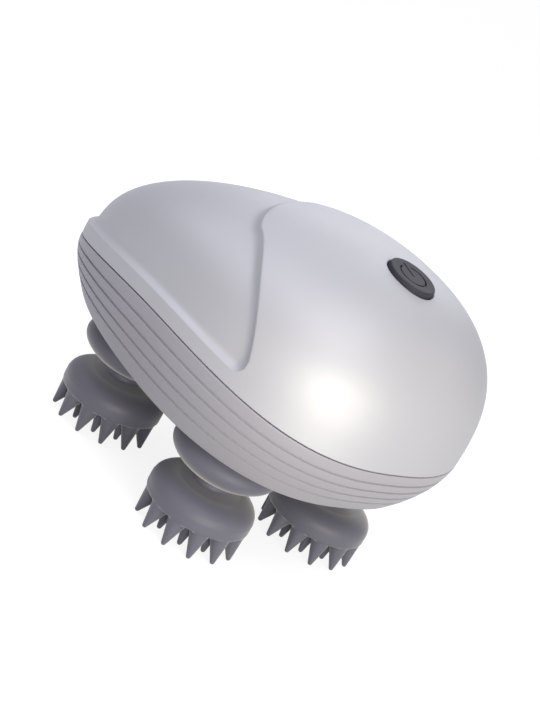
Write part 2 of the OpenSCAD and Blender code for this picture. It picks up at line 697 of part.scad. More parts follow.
module lower_gear_plate() color([0.8, 0.8, 0.78]) difference() {
    x = head_mid_x;
    union() {
        translate([0, 0, lower_plate_z]) {
            round_plate([x - 40.4, -post_y], [x + 18.6, post_y], 4, plate_t);
            round_plate([x - 6, -post_y - 4], [x + 6, post_y + 4], 4, plate_t);
            round_plate([x + 10, -13], [nose_post_x + 7.4, 13], 4, plate_t);
            round_plate([charge_board_x - 0.6, -6.4], [x - 34, 6.4], 2, plate_t);
        }
        for (p = STANDOFFS) translate([p[0], p[1], lower_plate_z])
            cylinder(r = standoff_r, h = upper_plate_z - lower_plate_z, $fn = 48);
    }
    translate([sun_xy[0], sun_xy[1], lower_plate_z - 1]) cylinder(r = sun_hub_r + 0.6, h = 4, $fn = 64);
    translate([mid_xy[0], mid_xy[1], lower_plate_z - 1]) cylinder(r = axle_r, h = 4, $fn = 32);
    for (p = POSTS) translate([p[0], p[1], lower_plate_z - 1]) cylinder(r = 1.2, h = 4, $fn = 32);
    for (p = STANDOFFS) translate([p[0], p[1], upper_plate_z - 5]) cylinder(r = 0.8, h = 6, $fn = 32);
}

module upper_gear_plate() color([0.8, 0.8, 0.78]) difference() {
    x = head_mid_x;
    union() {
        translate([0, 0, upper_plate_z]) {
            round_plate([x - 28.4, -standoff_y - 2.5], [x + 17, standoff_y + 2.5], 4, plate_t);
            round_plate([tail_standoff_x - 3.6, -7], [x - 22, 7], 3.4, plate_t);
        }
        translate([motor_xy[0], motor_xy[1], upper_plate_z])
            cylinder(r = motor_d / 2 + 1.4, h = plate_t + motor_seat_h, $fn = 64);
    }
    translate([motor_xy[0], motor_xy[1], motor_z])
        cylinder(r = motor_d / 2 + 0.05, h = motor_seat_h + 1, $fn = 64);
    for (p = [mid_xy, sun_xy]) translate([p[0], p[1], upper_plate_z - 1])
        cylinder(r = axle_r, h = 4, $fn = 32);
    translate([motor_xy[0], motor_xy[1], upper_plate_z - 1]) cylinder(r = 3, h = 4, $fn = 48);
    for (p = STANDOFFS) translate([p[0], p[1], upper_plate_z - 1]) cylinder(r = 1, h = 4, $fn = 32);
}

// ---- Power ---------------------------------------------------------------

module battery_cell() color([0.2, 0.42, 0.66]) translate([cell_x, 0, cell_z]) rotate([90, 0, 0]) {
    translate([0, 0, -cell_len / 2]) cylinder(r = cell_r, h = cell_len, $fn = 64);
    translate([0, 0, cell_len / 2 - 0.5]) cylinder(r = 3, h = 1.5, $fn = 48);
}

module battery_cradle() color([0.24, 0.24, 0.26]) difference() {
    foot_z = lower_plate_z + plate_t;
    length = cell_len + 4.8;
    union() {
        translate([cell_x - cell_r, -length / 2, cradle_z]) cube([cell_d, length, cradle_h]);
        translate([cell_x - cell_r + 1, -10, foot_z]) cube([cell_d - 2, 20, cradle_z - foot_z + 0.6]);
    }
    translate([cell_x, cell_len / 2 + 1.2, cell_z]) rotate([90, 0, 0])
        cylinder(r = cell_r + 0.1, h = cell_len + 2.4, $fn = 64);
    translate([nose_post_x, 0, foot_z - 1]) cylinder(r = 2.4, h = 3, $fn = 32);
}

// Strap that goes over the cell and clips to the cradle's sides
module battery_strap() color([0.5, 0.5, 0.53]) translate([cell_x, 0, cell_z]) {
    inner = cell_r + strap_gap;
    leg = cell_z - cradle_z - 2;
    rotate([90, 0, 0]) difference() {
        translate([0, 0, -strap_w / 2]) cylinder(r = inner + strap_t, h = strap_w, $fn = 64);
        translate([0, 0, -strap_w]) cylinder(r = inner, h = 2 * strap_w, $fn = 64);
        translate([-20, -20, -strap_w]) cube([40, 20, 2 * strap_w]);
    }
    for (side = [-1, 1]) translate([side * (inner + strap_t / 2) - strap_t / 2, -strap_w / 2, -leg])
        cube([strap_t, strap_w, leg + 0.01]);
}

module charge_board() color([0.12, 0.42, 0.26])
    translate([charge_board_x, -6.2, charge_board_z]) cube([11.6, 12.4, charge_board_t]);

module charge_socket() color([0.7, 0.71, 0.73]) translate([socket_x, 0, socket_z]) {
    difference() {
        translate([0, -socket_w / 2, -socket_h / 2]) cube([socket_len, socket_w, socket_h]);
        translate([-1, -socket_w / 2 + 0.35, -socket_h / 2 + 0.35])
            cube([socket_len, socket_w - 0.7, socket_h - 0.7]);
    }
    translate([1, -3.2, -0.35]) cube([socket_len - 1.5, 6.4, 0.7]);
}

// Level of the dome that a height has at the tail, where the recess has pushed the surface down
function tail_level(z) =
    asin(pow(max(0, (z + 0.3 * recess_d - seam - parting(3 - tail_len)) / dome_h), 1 / dome_q)) / 90;
// Angle of the outline that stands a distance y off the middle line at the tail
function tail_turn(y) = 180 - sign(y) * asin(pow(abs(y) / half_w, tail_n / 2));

// Soft flap over the socket, curved like the shell and hinged along its lower edge
module socket_cover() color([0.3, 0.3, 0.34]) {
    intersection() {
        flap_skin();
        translate([tail_x - 5, 0, socket_z]) rotate([0, 90, 0]) linear_extrude(12) {
            square([cover_h, cover_w - 2], center = true);
            square([cover_h - 2, cover_w], center = true);
            for (x = [-1, 1], y = [-1, 1]) translate([x * (cover_h / 2 - 1), y * (cover_w / 2 - 1)])
                circle(r = 1, $fn = 24);
        }
    }
    translate([socket_x - 1.8, -3.6, socket_z - 0.8]) cube([1.3, 7.2, 1.6]);
}

// Sheet that lies on the tail, from just above its surface up to the flap's outer face
module flap_skin() {
    n = cover_cells;
    side = n + 1;
    half_y = cover_w / 2 + 1;
    low = socket_z - cover_h / 2 - 1;
    sheet = function(lift) [for (i = [0:n], j = [0:n])
        lifted(dome_at(tail_turn(half_y * (1 - 2 * j / n)),
            tail_level(low + (cover_h + 2) * i / n), -lift), seam)];
    at = function(s, i, j) s * side * side + i * side + j;
    quad = function(a, b, c, d) [[a, b, c], [a, c, d]];
    polyhedron(points = concat(sheet(cover_lift + cover_t), sheet(cover_lift)), faces = concat(
        [for (i = [0:n - 1], j = [0:n - 1])
            each quad(at(0, i, j), at(0, i + 1, j), at(0, i + 1, j + 1), at(0, i, j + 1))],
        [for (i = [0:n - 1], j = [0:n - 1])
            each quad(at(1, i, j), at(1, i, j + 1), at(1, i + 1, j + 1), at(1, i + 1, j))],
        [for (i = [0:n - 1]) each quad(at(0, i, 0), at(1, i, 0), at(1, i + 1, 0), at(0, i + 1, 0))],
        [for (i = [0:n - 1]) each quad(at(0, i, n), at(0, i + 1, n), at(1, i + 1, n), at(1, i, n))],
        [for (j = [0:n - 1]) each quad(at(0, 0, j), at(0, 0, j + 1), at(1, 0, j + 1), at(1, 0, j))],
        [for (j = [0:n - 1]) each quad(at(0, n, j), at(1, n, j), at(1, n, j + 1), at(0, n, j + 1))]));
}

// ---- Heads ---------------------------------------------------------------

// Fixed soft neck: a flattened ball pushed over a shaft's boss, cut off at the slope of the base plate
module neck_dome(i) color([0.36, 0.36, 0.41]) difference() {
    translate([HEADS[i][0], HEADS[i][1], dome_z]) difference() {
        union() {
            rotate_extrude($fn = 64) flat_half(dome_r, dome_half_h);
            cylinder(r = neck_r, h = dome_half_h + 3, $fn = 64);
        }
        rotate_extrude($fn = 64) flat_half(dome_r - dome_wall, dome_half_h - dome_wall);
        translate([0, 0, -dome_half_h - 1]) cylinder(r = dome_mouth_r, h = dome_half_h, $fn = 48);
        cylinder(r = boss_r + run, h = dome_half_h + 4, $fn = 64);
    }
    at_base() translate([-80, -60, -0.05]) cube([160, 120, 40]);
}

// Half of an ellipse's outline, to be turned round the Z axis
module flat_half(r, h) {
    polygon([for (a = [-90:6:90]) [r * cos(a), h * sin(a)]]);
}

// Tapered claw with its tip at ring_r and its foot of radius foot_r at foot_ring_r
module claw(ring_r, foot_ring_r, foot_r, phase) {
    rise = rim_z + 0.4 - claw_tip_r;
    rotate([0, 0, phase]) translate([ring_r, 0, claw_tip_r]) {
        sphere(r = claw_tip_r, $fn = 24);
        rotate([0, -atan((ring_r - foot_ring_r) / rise), 0])
            cylinder(r1 = claw_tip_r, r2 = foot_r, h = norm([ring_r - foot_ring_r, rise]), $fn = 24);
    }
}

module claw_head(i) color([0.36, 0.36, 0.41]) translate([HEADS[i][0], HEADS[i][1], 0]) {
    difference() {
        union() {
            rotate_extrude($fn = 64) polygon(concat([[0, rim_z], [rim_r, rim_z], [rim_r, rim_top_z]],
                [for (a = [10:10:90]) [cap_r + (rim_r - cap_r) * cos(a),
                    rim_top_z + (cap_top_z - rim_top_z) * sin(a)]],
                [[hub_r, crown_top_z], [0, crown_top_z]]));
            translate([0, 0, rim_z + 1]) cylinder(r = hub_r, h = hub_top_z - rim_z - 1, $fn = 48);
        }
        translate([0, 0, shaft_low_z]) cylinder(r = shaft_r, h = 30, $fn = 48);
    }
    for (k = [0:outer_claws - 1])
        claw(claw_ring_r - 0.3, rim_r - claw_foot_r, claw_foot_r, claw_phase + 360 * k / outer_claws);
    for (k = [0:inner_claws - 1])
        claw(inner_ring_r, inner_ring_r - 0.6, inner_foot_r, inner_phase + 360 * k / inner_claws);
}

// ---- Fasteners -----------------------------------------------------------

module shell_screws() color([0.5, 0.5, 0.53]) for (p = SCREWS) {
    head_z = base_height(p[0]) - base_t + screw_pocket - screw_head_h;
    translate([p[0], p[1], head_z]) cylinder(r = screw_head_r, h = screw_head_h, $fn = 32);
    translate([p[0], p[1], head_z]) cylinder(r = screw_r,
        h = parting(p[0] - wide_x) + screw_grip - head_z, $fn = 32);
}

module gear_plate_screws() color([0.5, 0.5, 0.53]) {
    for (p = POSTS) translate([p[0], p[1], lower_plate_z - 6]) {
        cylinder(r = 1, h = 6 + plate_t + 0.5, $fn = 32);
        translate([0, 0, 6 + plate_t]) cylinder(r = 2, h = 1.2, $fn = 32);
    }
    for (p = STANDOFFS) translate([p[0], p[1], upper_plate_z - 4]) {
        cylinder(r = 0.8, h = 4 + plate_t + 0.5, $fn = 32);
        translate([0, 0, 4 + plate_t]) cylinder(r = 1.8, h = 1.2, $fn = 32);
    }
}

top_shell();
bottom_shell();
base_plate();
parting_gasket();
button_bezel();
power_button();
button_spring();
main_board();
tact_switch();
board_parts();
board_screws();
battery_cell();
battery_cradle();
battery_strap();
lower_gear_plate();
upper_gear_plate();
motor_can();
motor_shaft();
motor_pinion();
reduction_gear();
reduction_axle();
drive_gear();
central_gear();
drive_axle();
head_gear(0);  // head_gear_1
head_gear(1);  // head_gear_2
head_gear(2);  // head_gear_3
head_gear(3);  // head_gear_4
head_shaft(0);  // head_shaft_1
head_shaft(1);  // head_shaft_2
head_shaft(2);  // head_shaft_3
head_shaft(3);  // head_shaft_4
shaft_clip(0);  // shaft_clip_1
shaft_clip(1);  // shaft_clip_2
shaft_clip(2);  // shaft_clip_3
shaft_clip(3);  // shaft_clip_4
shaft_bush(0);  // shaft_bush_1
shaft_bush(1);  // shaft_bush_2
shaft_bush(2);  // shaft_bush_3
shaft_bush(3);  // shaft_bush_4
shaft_seals();
neck_dome(0);  // neck_dome_1
neck_dome(1);  // neck_dome_2
neck_dome(2);  // neck_dome_3
neck_dome(3);  // neck_dome_4
claw_head(0);  // claw_head_1
claw_head(1);  // claw_head_2
claw_head(2);  // claw_head_3
claw_head(3);  // claw_head_4
charge_board();
charge_socket();
socket_cover();
shell_screws();
gear_plate_screws();
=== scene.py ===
# %% [markdown]
# # An electric scalp massager
# An egg-shaped body in pearl plastic stands on four turning claw heads of dark silicone. The
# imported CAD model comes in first. It gives each piece its place, and its bodies say what turns,
# slides and swings. What the eye sees is then made again with finer meshes and real finishes.

# %% Load the frame
import json
import math

import bmesh
import bpy
import numpy as np
from mathutils import Matrix, Vector
from mathutils.bvhtree import BVHTree


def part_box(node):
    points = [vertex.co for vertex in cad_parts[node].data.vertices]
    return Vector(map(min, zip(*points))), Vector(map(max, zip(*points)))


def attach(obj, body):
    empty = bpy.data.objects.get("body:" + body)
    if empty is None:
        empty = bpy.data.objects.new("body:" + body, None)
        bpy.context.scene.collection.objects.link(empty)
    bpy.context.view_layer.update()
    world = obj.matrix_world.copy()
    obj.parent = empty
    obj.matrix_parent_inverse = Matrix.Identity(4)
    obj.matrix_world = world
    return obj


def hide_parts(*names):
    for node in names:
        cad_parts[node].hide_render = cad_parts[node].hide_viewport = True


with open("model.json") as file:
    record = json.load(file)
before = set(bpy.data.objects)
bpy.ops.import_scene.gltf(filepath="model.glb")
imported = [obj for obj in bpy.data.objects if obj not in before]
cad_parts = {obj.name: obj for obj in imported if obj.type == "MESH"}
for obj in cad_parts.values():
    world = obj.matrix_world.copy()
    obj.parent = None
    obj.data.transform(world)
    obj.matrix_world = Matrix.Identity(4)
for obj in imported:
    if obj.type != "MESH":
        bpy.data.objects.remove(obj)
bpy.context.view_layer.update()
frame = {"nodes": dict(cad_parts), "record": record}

MM = 0.001

# %% [markdown]
# ## Camera
# The photograph is taken from the nose's right side, with the body rolled by about 30 degrees, so
# the camera is rolled and the massager stands level. Its place comes from a fit of the body's
# outline, the parting line and the claw tips. The camera's axes are built as vectors, because a
# rolled view is easier to state that way than as three angles.

# %% Camera
HEAD_MID_X = 6.4


def new_object(name, data):
    """A new object in the scene."""
    made = bpy.data.objects.new(name, data)
    bpy.context.scene.collection.objects.link(made)
    return made


def aim_camera(azimuth, elevation, roll, distance, across, up, lens):
    """Camera that looks at the middle of the heads and is then moved across and up.

    The angles are in radians, and the distances and the lens are in mm.
    """
    level = math.cos(elevation)
    back = Vector((math.sin(azimuth) * level, -math.cos(azimuth) * level, math.sin(elevation)))
    right = Vector((math.cos(azimuth), math.sin(azimuth), 0))
    over = back.cross(right)
    x = right * math.cos(roll) + over * math.sin(roll)
    y = over * math.cos(roll) - right * math.sin(roll)
    place = Vector((HEAD_MID_X, 0, 0)) + back * distance + x * across + y * up
    camera = new_object("camera", bpy.data.cameras.new("camera"))
    turn = Matrix((x, y, back)).transposed().to_4x4()
    camera.matrix_world = Matrix.Translation(place * MM) @ turn
    camera.data.lens = lens
    camera.data.clip_start, camera.data.clip_end = 0.01, 20
    bpy.context.scene.camera = camera
    return camera


camera = aim_camera(azimuth=0.7480, elevation=0.3330, roll=0.5200,
                    distance=387.45, across=17.72, up=30.50, lens=75.78)
print("camera at", [round(v / MM, 1) for v in camera.location], "mm")

# %% [markdown]
# ## Colours and nodes
# Colours are written as they look on a screen, in hex, and one function turns them into the
# linear values that the renderer adds up. One more function puts a node in a tree with its
# settings and its links, and it serves for materials and for Geometry Nodes alike.

# %% Colour and node helpers


def linear(code):
    """The linear RGBA colour of an sRGB hex code."""
    parts = [int(code[i:i + 2], 16) / 255 for i in (1, 3, 5)]
    plain = [p / 12.92 if p <= 0.04045 else ((p + 0.055) / 1.055) ** 2.4 for p in parts]
    return (*plain, 1.0)


def add_node(tree, kind, inputs=None, **settings):
    """Adds a node. Its inputs are given by name or number, as values or as sockets to link."""
    node = tree.nodes.new(kind)
    for key, value in settings.items():
        setattr(node, key, value)
    for key, value in (inputs or {}).items():
        if isinstance(value, bpy.types.NodeSocket):
            tree.links.new(value, node.inputs[key])
        else:
            node.inputs[key].default_value = value
    return node


def node_out(tree, kind, inputs=None, **settings):
    """Adds a node and returns its first output, which is all that most nodes are for."""
    return add_node(tree, kind, inputs, **settings).outputs[0]


def bare_material(name):
    """A new material with an empty tree, and that tree."""
    material = bpy.data.materials.new(name)
    material.use_nodes = True
    material.node_tree.nodes.clear()
    return material, material.node_tree


def per_metre(size_mm):
    """Scale of a texture whose features are this many millimetres apart."""
    return 1 / (size_mm * MM)


print("linear mid grey", [round(v, 3) for v in linear("#808080")])

# %% [markdown]
# ## Finishes
# Nearly all that shows is moulded. A mould's surface is spark eroded or polished, so each plastic
# gets a fine grain as bump, a slow change in gloss from handling and flow, and a slight drift in
# colour. The grain of the real thing is near 0.05 mm, too fine to show here, so it is drawn 4 to
# 8 times coarser and very shallow. Patterns read Object coordinates, which are metres in the
# part's own frame.

# %% Moulded plastics and silicone
# A Mix node has one socket of each name per data type, so its colour sockets go by number
MIX_A, MIX_B, MIX_RESULT = 6, 7, 2
FLOW_MM = 24


def moulded(name, colour, roughness, grain_mm, grain_depth_mm, drift=0.03, ior=1.5, **sockets):
    """A moulded surface: colour drift, uneven gloss and a fine grain."""
    material, tree = bare_material(name)
    place = add_node(tree, "ShaderNodeTexCoord").outputs["Object"]
    flow = node_out(tree, "ShaderNodeTexNoise", {
        "Vector": place, "Scale": per_metre(FLOW_MM), "Detail": 3.0, "Roughness": 0.55})
    grain = node_out(tree, "ShaderNodeTexNoise", {
        "Vector": place, "Scale": per_metre(grain_mm), "Detail": 2.0, "Roughness": 0.6})
    low, high = ((*(c * share for c in linear(colour)[:3]), 1.0)
                 for share in (1 - drift, 1 + drift))
    tint = add_node(tree, "ShaderNodeMix", {
        0: flow, MIX_A: low, MIX_B: high}, data_type="RGBA").outputs[MIX_RESULT]
    gloss = node_out(tree, "ShaderNodeMapRange", {
        "Value": flow, "From Min": 0.3, "From Max": 0.7,
        "To Min": roughness * 0.92, "To Max": roughness * 1.08})
    bump = node_out(tree, "ShaderNodeBump", {
        "Height": grain, "Strength": 1.0, "Distance": grain_depth_mm * MM})
    shader = node_out(tree, "ShaderNodeBsdfPrincipled", {
        "Base Color": tint, "Roughness": gloss, "Normal": bump, "IOR": ior, **sockets})
    add_node(tree, "ShaderNodeOutputMaterial", {"Surface": shader})
    return material


pearl = moulded("pearl_abs", "#B8B8C0", 0.6, 0.35, 0.003, drift=0.012, ior=1.53, Metallic=0.45)
ribbed_plastic = moulded("satin_abs", "#A19FAA", 0.46, 0.3, 0.006, drift=0.015, ior=1.53)
silicone = moulded("matt_silicone", "#5E5E6D", 0.52, 0.4, 0.008, drift=0.03, ior=1.41,
                   **{"Sheen Weight": 0.6, "Sheen Roughness": 0.45})
seal_rubber = moulded("seal_rubber", "#1E1E22", 0.7, 0.3, 0.01, ior=1.52)
button_plastic = moulded("button_polycarbonate", "#36353F", 0.55, 0.25, 0.006, ior=1.58,
                         **{"Specular IOR Level": 0.1})
# Near-black for the faces of the sunk power sign: painted shade of its narrow grooves
symbol_painted_shade = moulded("symbol_recess_painted_shade", "#0F0F13", 0.6, 0.2, 0.004)
base_plastic = moulded("textured_abs", "#696872", 0.58, 0.45, 0.02, ior=1.53)
acetal = moulded("acetal", "#E6E1D2", 0.4, 0.5, 0.004, ior=1.48)
gearbox_plastic = moulded("glass_filled_nylon", "#C3C3BE", 0.5, 0.35, 0.015, ior=1.53)
black_plastic = moulded("black_nylon", "#232326", 0.5, 0.3, 0.01, ior=1.53)
solder_mask = moulded("solder_mask", "#1E5B38", 0.3, 0.8, 0.006, ior=1.55)
shrink_film = moulded("shrink_film", "#2B5D99", 0.25, 1.2, 0.01, ior=1.57)
print("moulded finishes:", len(bpy.data.materials))

# %% [markdown]
# The small metal pieces are turned, ground or stamped. A metal is all reflection, so its colour
# sits on the shader as it is, and what tells it apart is how its roughness runs in fine lines.

# %% Metals
LINE_DEPTH_MM = 0.003


def machined(name, colour, roughness, line_mm):
    """A metal with fine tool lines, drawn by a noise that is stretched along Z."""
    material, tree = bare_material(name)
    place = add_node(tree, "ShaderNodeTexCoord").outputs["Object"]
    stretched = node_out(tree, "ShaderNodeMapping", {"Vector": place, "Scale": (1, 1, 0.08)})
    lines = node_out(tree, "ShaderNodeTexNoise", {
        "Vector": stretched, "Scale": per_metre(line_mm), "Detail": 3.0})
    gloss = node_out(tree, "ShaderNodeMapRange", {
        "Value": lines, "From Min": 0.3, "From Max": 0.7,
        "To Min": roughness * 0.8, "To Max": roughness * 1.25})
    bump = node_out(tree, "ShaderNodeBump", {
        "Height": lines, "Strength": 1.0, "Distance": LINE_DEPTH_MM * MM})
    shader = node_out(tree, "ShaderNodeBsdfPrincipled", {
        "Base Color": linear(colour), "Metallic": 1.0, "Roughness": gloss, "Normal": bump})
    add_node(tree, "ShaderNodeOutputMaterial", {"Surface": shader})
    return material


steel = machined("ground_steel", "#B9BABD", 0.28, 0.3)
zinc_plate = machined("zinc_plate", "#A9ABAE", 0.36, 0.6)
bronze = machined("sintered_bronze", "#AD8352", 0.45, 0.4)
brass = machined("turned_brass", "#C9A35A", 0.25, 0.3)
print("metals: 4")

# %% [markdown]
# ## Finishes for the pieces inside
# The drive, the cell and the boards keep their CAD meshes, because their shapes are already
# right. Each takes the finish that the record's material slot names.

# %% Give the CAD pieces their finishes
FINISH_OF_SLOT = {
    "pearl_shell": pearl, "ribbed_shell": ribbed_plastic, "base_plastic": base_plastic,
    "dark_silicone": silicone, "gasket_rubber": seal_rubber, "button_plastic": button_plastic,
    "spring_steel": steel, "board": solder_mask, "black_plastic": black_plastic,
    "cell_wrap": shrink_film, "gearbox_plastic": gearbox_plastic, "gear_plastic": acetal,
    "motor_metal": zinc_plate, "steel": steel, "bronze": bronze, "brass": brass,
}
for part in frame["record"]["subparts"]:
    mesh = frame["nodes"][part["node"]].data
    mesh.materials.clear()
    mesh.materials.append(FINISH_OF_SLOT[part["material_slot"]])

# %% [markdown]
# ## Meshes from rings
# Both shells, the seal, the domes and the button are skins over a stack of rings, all with the
# same number of points. One function joins the rings with quads, closes the ends with a point or
# joins the last ring to the first, and turns the faces outwards.

# %% Ring skin


def finished_piece(name, mesh, material=None, sharp_deg=None):
    """An object for a mesh, shaded smooth, with edges above an angle kept sharp."""
    if material is not None:
        mesh.materials.clear()
        mesh.materials.append(material)
    mesh.polygons.foreach_set("use_smooth", [True] * len(mesh.polygons))
    if sharp_deg:
        mesh.set_sharp_from_angle(angle=math.radians(sharp_deg))
    return new_object(name, mesh)


def mesh_of(name, bm):
    """A mesh of what was built with bmesh, which is freed."""
    mesh = bpy.data.meshes.new(name)
    bm.to_mesh(mesh)
    bm.free()
    return mesh


def outward_mesh(name, points, faces):
    """A mesh whose faces look outwards. Points are in metres."""
    mesh = bpy.data.meshes.new(name)
    mesh.from_pydata(points, [], faces)
    bm = bmesh.new()
    bm.from_mesh(mesh)
    bmesh.ops.recalc_face_normals(bm, faces=bm.faces)
    bm.to_mesh(mesh)
    bm.free()
    return mesh


def ring_skin(name, rings, start=None, end=None, loop=False):
    """Mesh over rings[m, n, 3] in mm. The points start and end close it, or else loop does."""
    rings = np.asarray(rings, float)
    count, around = rings.shape[:2]
    index = np.arange(count * around).reshape(count, around)
    low = index if loop else index[:-1]
    high = np.roll(index, -1, 0) if loop else index[1:]
    quads = np.stack([low, np.roll(low, -1, 1), np.roll(high, -1, 1), high], -1).reshape(-1, 4)
    points, faces = [rings.reshape(-1, 3)], quads.tolist()
    for pole, ring in ((start, index[0]), (end, index[-1])):
        if pole is not None:
            tip = sum(len(p) for p in points)
            points.append(np.array([pole], float))
            faces += [[int(a), int(b), tip] for a, b in zip(ring, np.roll(ring, -1))]
    return outward_mesh(name, (np.concatenate(points) * MM).tolist(), faces)


def lathe_rings(profile, around):
    """Rings round Z for a list of (radius, height) pairs in mm."""
    turn = np.linspace(0, 2 * np.pi, around, endpoint=False)
    profile = np.asarray(profile, float)
    return np.stack([profile[:, :1] * np.cos(turn), profile[:, :1] * np.sin(turn),
                     np.repeat(profile[:, 1:], around, 1)], -1)


def arc(centre, radius, start_deg, end_deg, steps):
    """Points of an arc in the profile's plane."""
    turns = np.radians(np.linspace(start_deg, end_deg, steps))
    return [(centre[0] + radius * math.cos(t), centre[1] + radius * math.sin(t)) for t in turns]


def cut_with(piece, cutter, name):
    """Cuts cutter out of piece and removes it. The cut faces keep the cutter's material."""
    cut = piece.modifiers.new("cut", "BOOLEAN")
    cut.object, cut.operation, cut.solver = cutter, "DIFFERENCE", "EXACT"
    cut.material_mode = "TRANSFER"
    made = bpy.data.meshes.new_from_object(
        piece.evaluated_get(bpy.context.evaluated_depsgraph_get()))
    piece.modifiers.clear()
    piece.data = made
    bpy.data.objects.remove(cutter)
    print(name, "cut,", len(made.polygons), "faces")


# %% [markdown]
# ## The body's rule
# The outline is a superellipse that is blunter at the nose than at the tail. The parting line
# between the shells is not flat: it tips forward and bows down towards both ends. The upper shell
# shrinks that outline towards a crown near the nose, and the lower shell tapers it down to the
# base. The same rule with the same sizes shapes the CAD model, so the fine skins here lie on the
# CAD surfaces.

# %% Outline and parting line
NOSE_LEN, TAIL_LEN, HALF_W = 55.8, 61.0, 44.45
NOSE_POWER, TAIL_POWER = 2.54, 2.15
WIDE_X = (TAIL_LEN - NOSE_LEN) / 2
DOME_H, BOWL_H, CROWN_X = 33.15, 17.9, 28.1
PARTING_Z, PART_TILT, PART_BOW, BOW_LIMIT = 45.5, 0.04, 0.0026, 64.0
WALL, SEAM = 2.4, 0.15


def signed_power(value, power):
    return np.sign(value) * np.abs(value) ** power


def outline(turn, inset):
    """x and y of the outline, inset by a distance, at an angle in degrees from the nose."""
    c, s = np.cos(np.radians(turn)), np.sin(np.radians(turn))
    power = np.where(c > 0, NOSE_POWER, TAIL_POWER)
    reach = np.where(c > 0, NOSE_LEN, TAIL_LEN) - inset
    return reach * signed_power(c, 2 / power), (HALF_W - inset) * signed_power(s, 2 / power)


def parting(x):
    bowed = x / (1 + (x / BOW_LIMIT) ** 6) ** (1 / 6)
    return PARTING_Z + PART_TILT * x - PART_BOW * bowed ** 2


def ease(value):
    """Smooth step from 0 to 1."""
    value = np.clip(value, 0, 1)
    return value * value * (3 - 2 * value)


print("outline", round(NOSE_LEN + TAIL_LEN, 1), "x", 2 * HALF_W, "mm")

# %% [markdown]
# ## Upper shell
# One moulding in pearl plastic. A grip recess steps down over the tail by less than 2 mm. Its
# edge runs as an arch over the top and dies out low on the sides, so the step is made by pushing
# the plain dome inwards along its normal, by a share that falls from 1 to 0 over a few
# millimetres. A sculpted or subdivided cage would need many edge loops to hold that line, and the
# rule holds it exactly.

# %% Upper shell surface
DOME_P, DOME_Q = 1.03, 0.703
RECESS_D, RIM_STRIP = 1.8, 3.5
RECESS_TOP, RECESS_SIDE, ARCH_RISE, ARCH_SPREAD = 0.745, 124.5, 1.55, 2.7
STEP_W, STEP_CORNER, STEP_POWER, STEP_ROUND = 2.9, 4.2, 2.6, 0.3


def plain_dome(turn, level, inset):
    """The dome without the recess. level is 0 at the parting line and 1 at the crown."""
    shrink = np.cos(np.pi / 2 * level) ** DOME_P
    height = np.sin(np.pi / 2 * level) ** DOME_Q
    x, y = outline(turn, inset)
    x = x * shrink + CROWN_X * (1 - shrink)
    return np.stack(np.broadcast_arrays(x, y * shrink, parting(x) + (DOME_H - inset) * height), -1)


def dome_normal(turn, level, inset):
    level = np.clip(level, 0.011, 0.989)
    round_step = plain_dome(turn + 1, level, inset) - plain_dome(turn - 1, level, inset)
    up_step = plain_dome(turn, level + 0.01, inset) - plain_dome(turn, level - 0.01, inset)
    normal = np.cross(round_step, up_step)
    return normal / np.linalg.norm(normal, axis=-1, keepdims=True)


def inside_edge(turn, level):
    """Positive inside the arch that bounds the recess."""
    aside = np.abs(180 - turn) / RECESS_SIDE
    return 1 - (level / RECESS_TOP) ** ARCH_RISE - aside ** ARCH_SPREAD


def recess_share(turn, level):
    """Share of the recess depth: 0 outside, abrupt at the edge and eased into the floor."""
    level = np.clip(level, 0.012, 0.988)
    slope = 0
    for step in ((0.5, 0), (0, 0.004)):
        ahead, behind = (turn + step[0], level + step[1]), (turn - step[0], level - step[1])
        length = np.linalg.norm(plain_dome(*ahead, 0) - plain_dome(*behind, 0), axis=-1)
        slope = slope + ((inside_edge(*ahead) - inside_edge(*behind)) / length) ** 2
    from_arch = inside_edge(turn, level) / np.sqrt(slope)
    from_strip = DOME_H * np.sin(np.pi / 2 * level) ** DOME_Q - RIM_STRIP
    corner = np.hypot(np.maximum(STEP_CORNER - from_arch, 0),
                      np.maximum(STEP_CORNER - from_strip, 0))
    way = np.clip((STEP_CORNER - corner) / STEP_W, 0, 1)
    lip = way / np.sqrt(way ** 2 + (STEP_ROUND / STEP_W) ** 2)
    return (1 - (1 - way) ** STEP_POWER) * lip


def dome(turn, level, inset=0.0):
    """Points of the upper shell in the part's frame, in mm."""
    turn, level = np.broadcast_arrays(np.asarray(turn, float), np.asarray(level, float))
    push = RECESS_D * np.where(level <= 0.011, 0, recess_share(turn, level))
    points = plain_dome(turn, level, inset) - push[..., None] * dome_normal(turn, level, inset)
    return points + np.array([WIDE_X, 0, SEAM])


# Angles of the columns in degrees, closest where the sides of the recess run up the shell
turns = np.concatenate([
    np.linspace(0, 52, 46, endpoint=False), np.linspace(52, 100, 110, endpoint=False),
    np.linspace(100, 260, 92, endpoint=False), np.linspace(260, 308, 110, endpoint=False),
    np.linspace(308, 360, 46, endpoint=False)])
AROUND = len(turns)
EDGE_LIP = 0.22


def rim_rings(surface, lip, side):
    """Four rings that round the edge of a shell at the seam. side is 1 for up and -1 for down."""
    steps = [(1, 0), (0.62, 0.08), (0.29, 0.29), (0.08, 0.62)]
    return [surface(turns, 0, lip * across) + np.array([0, 0, side * lip * rise])
            for across, rise in steps]


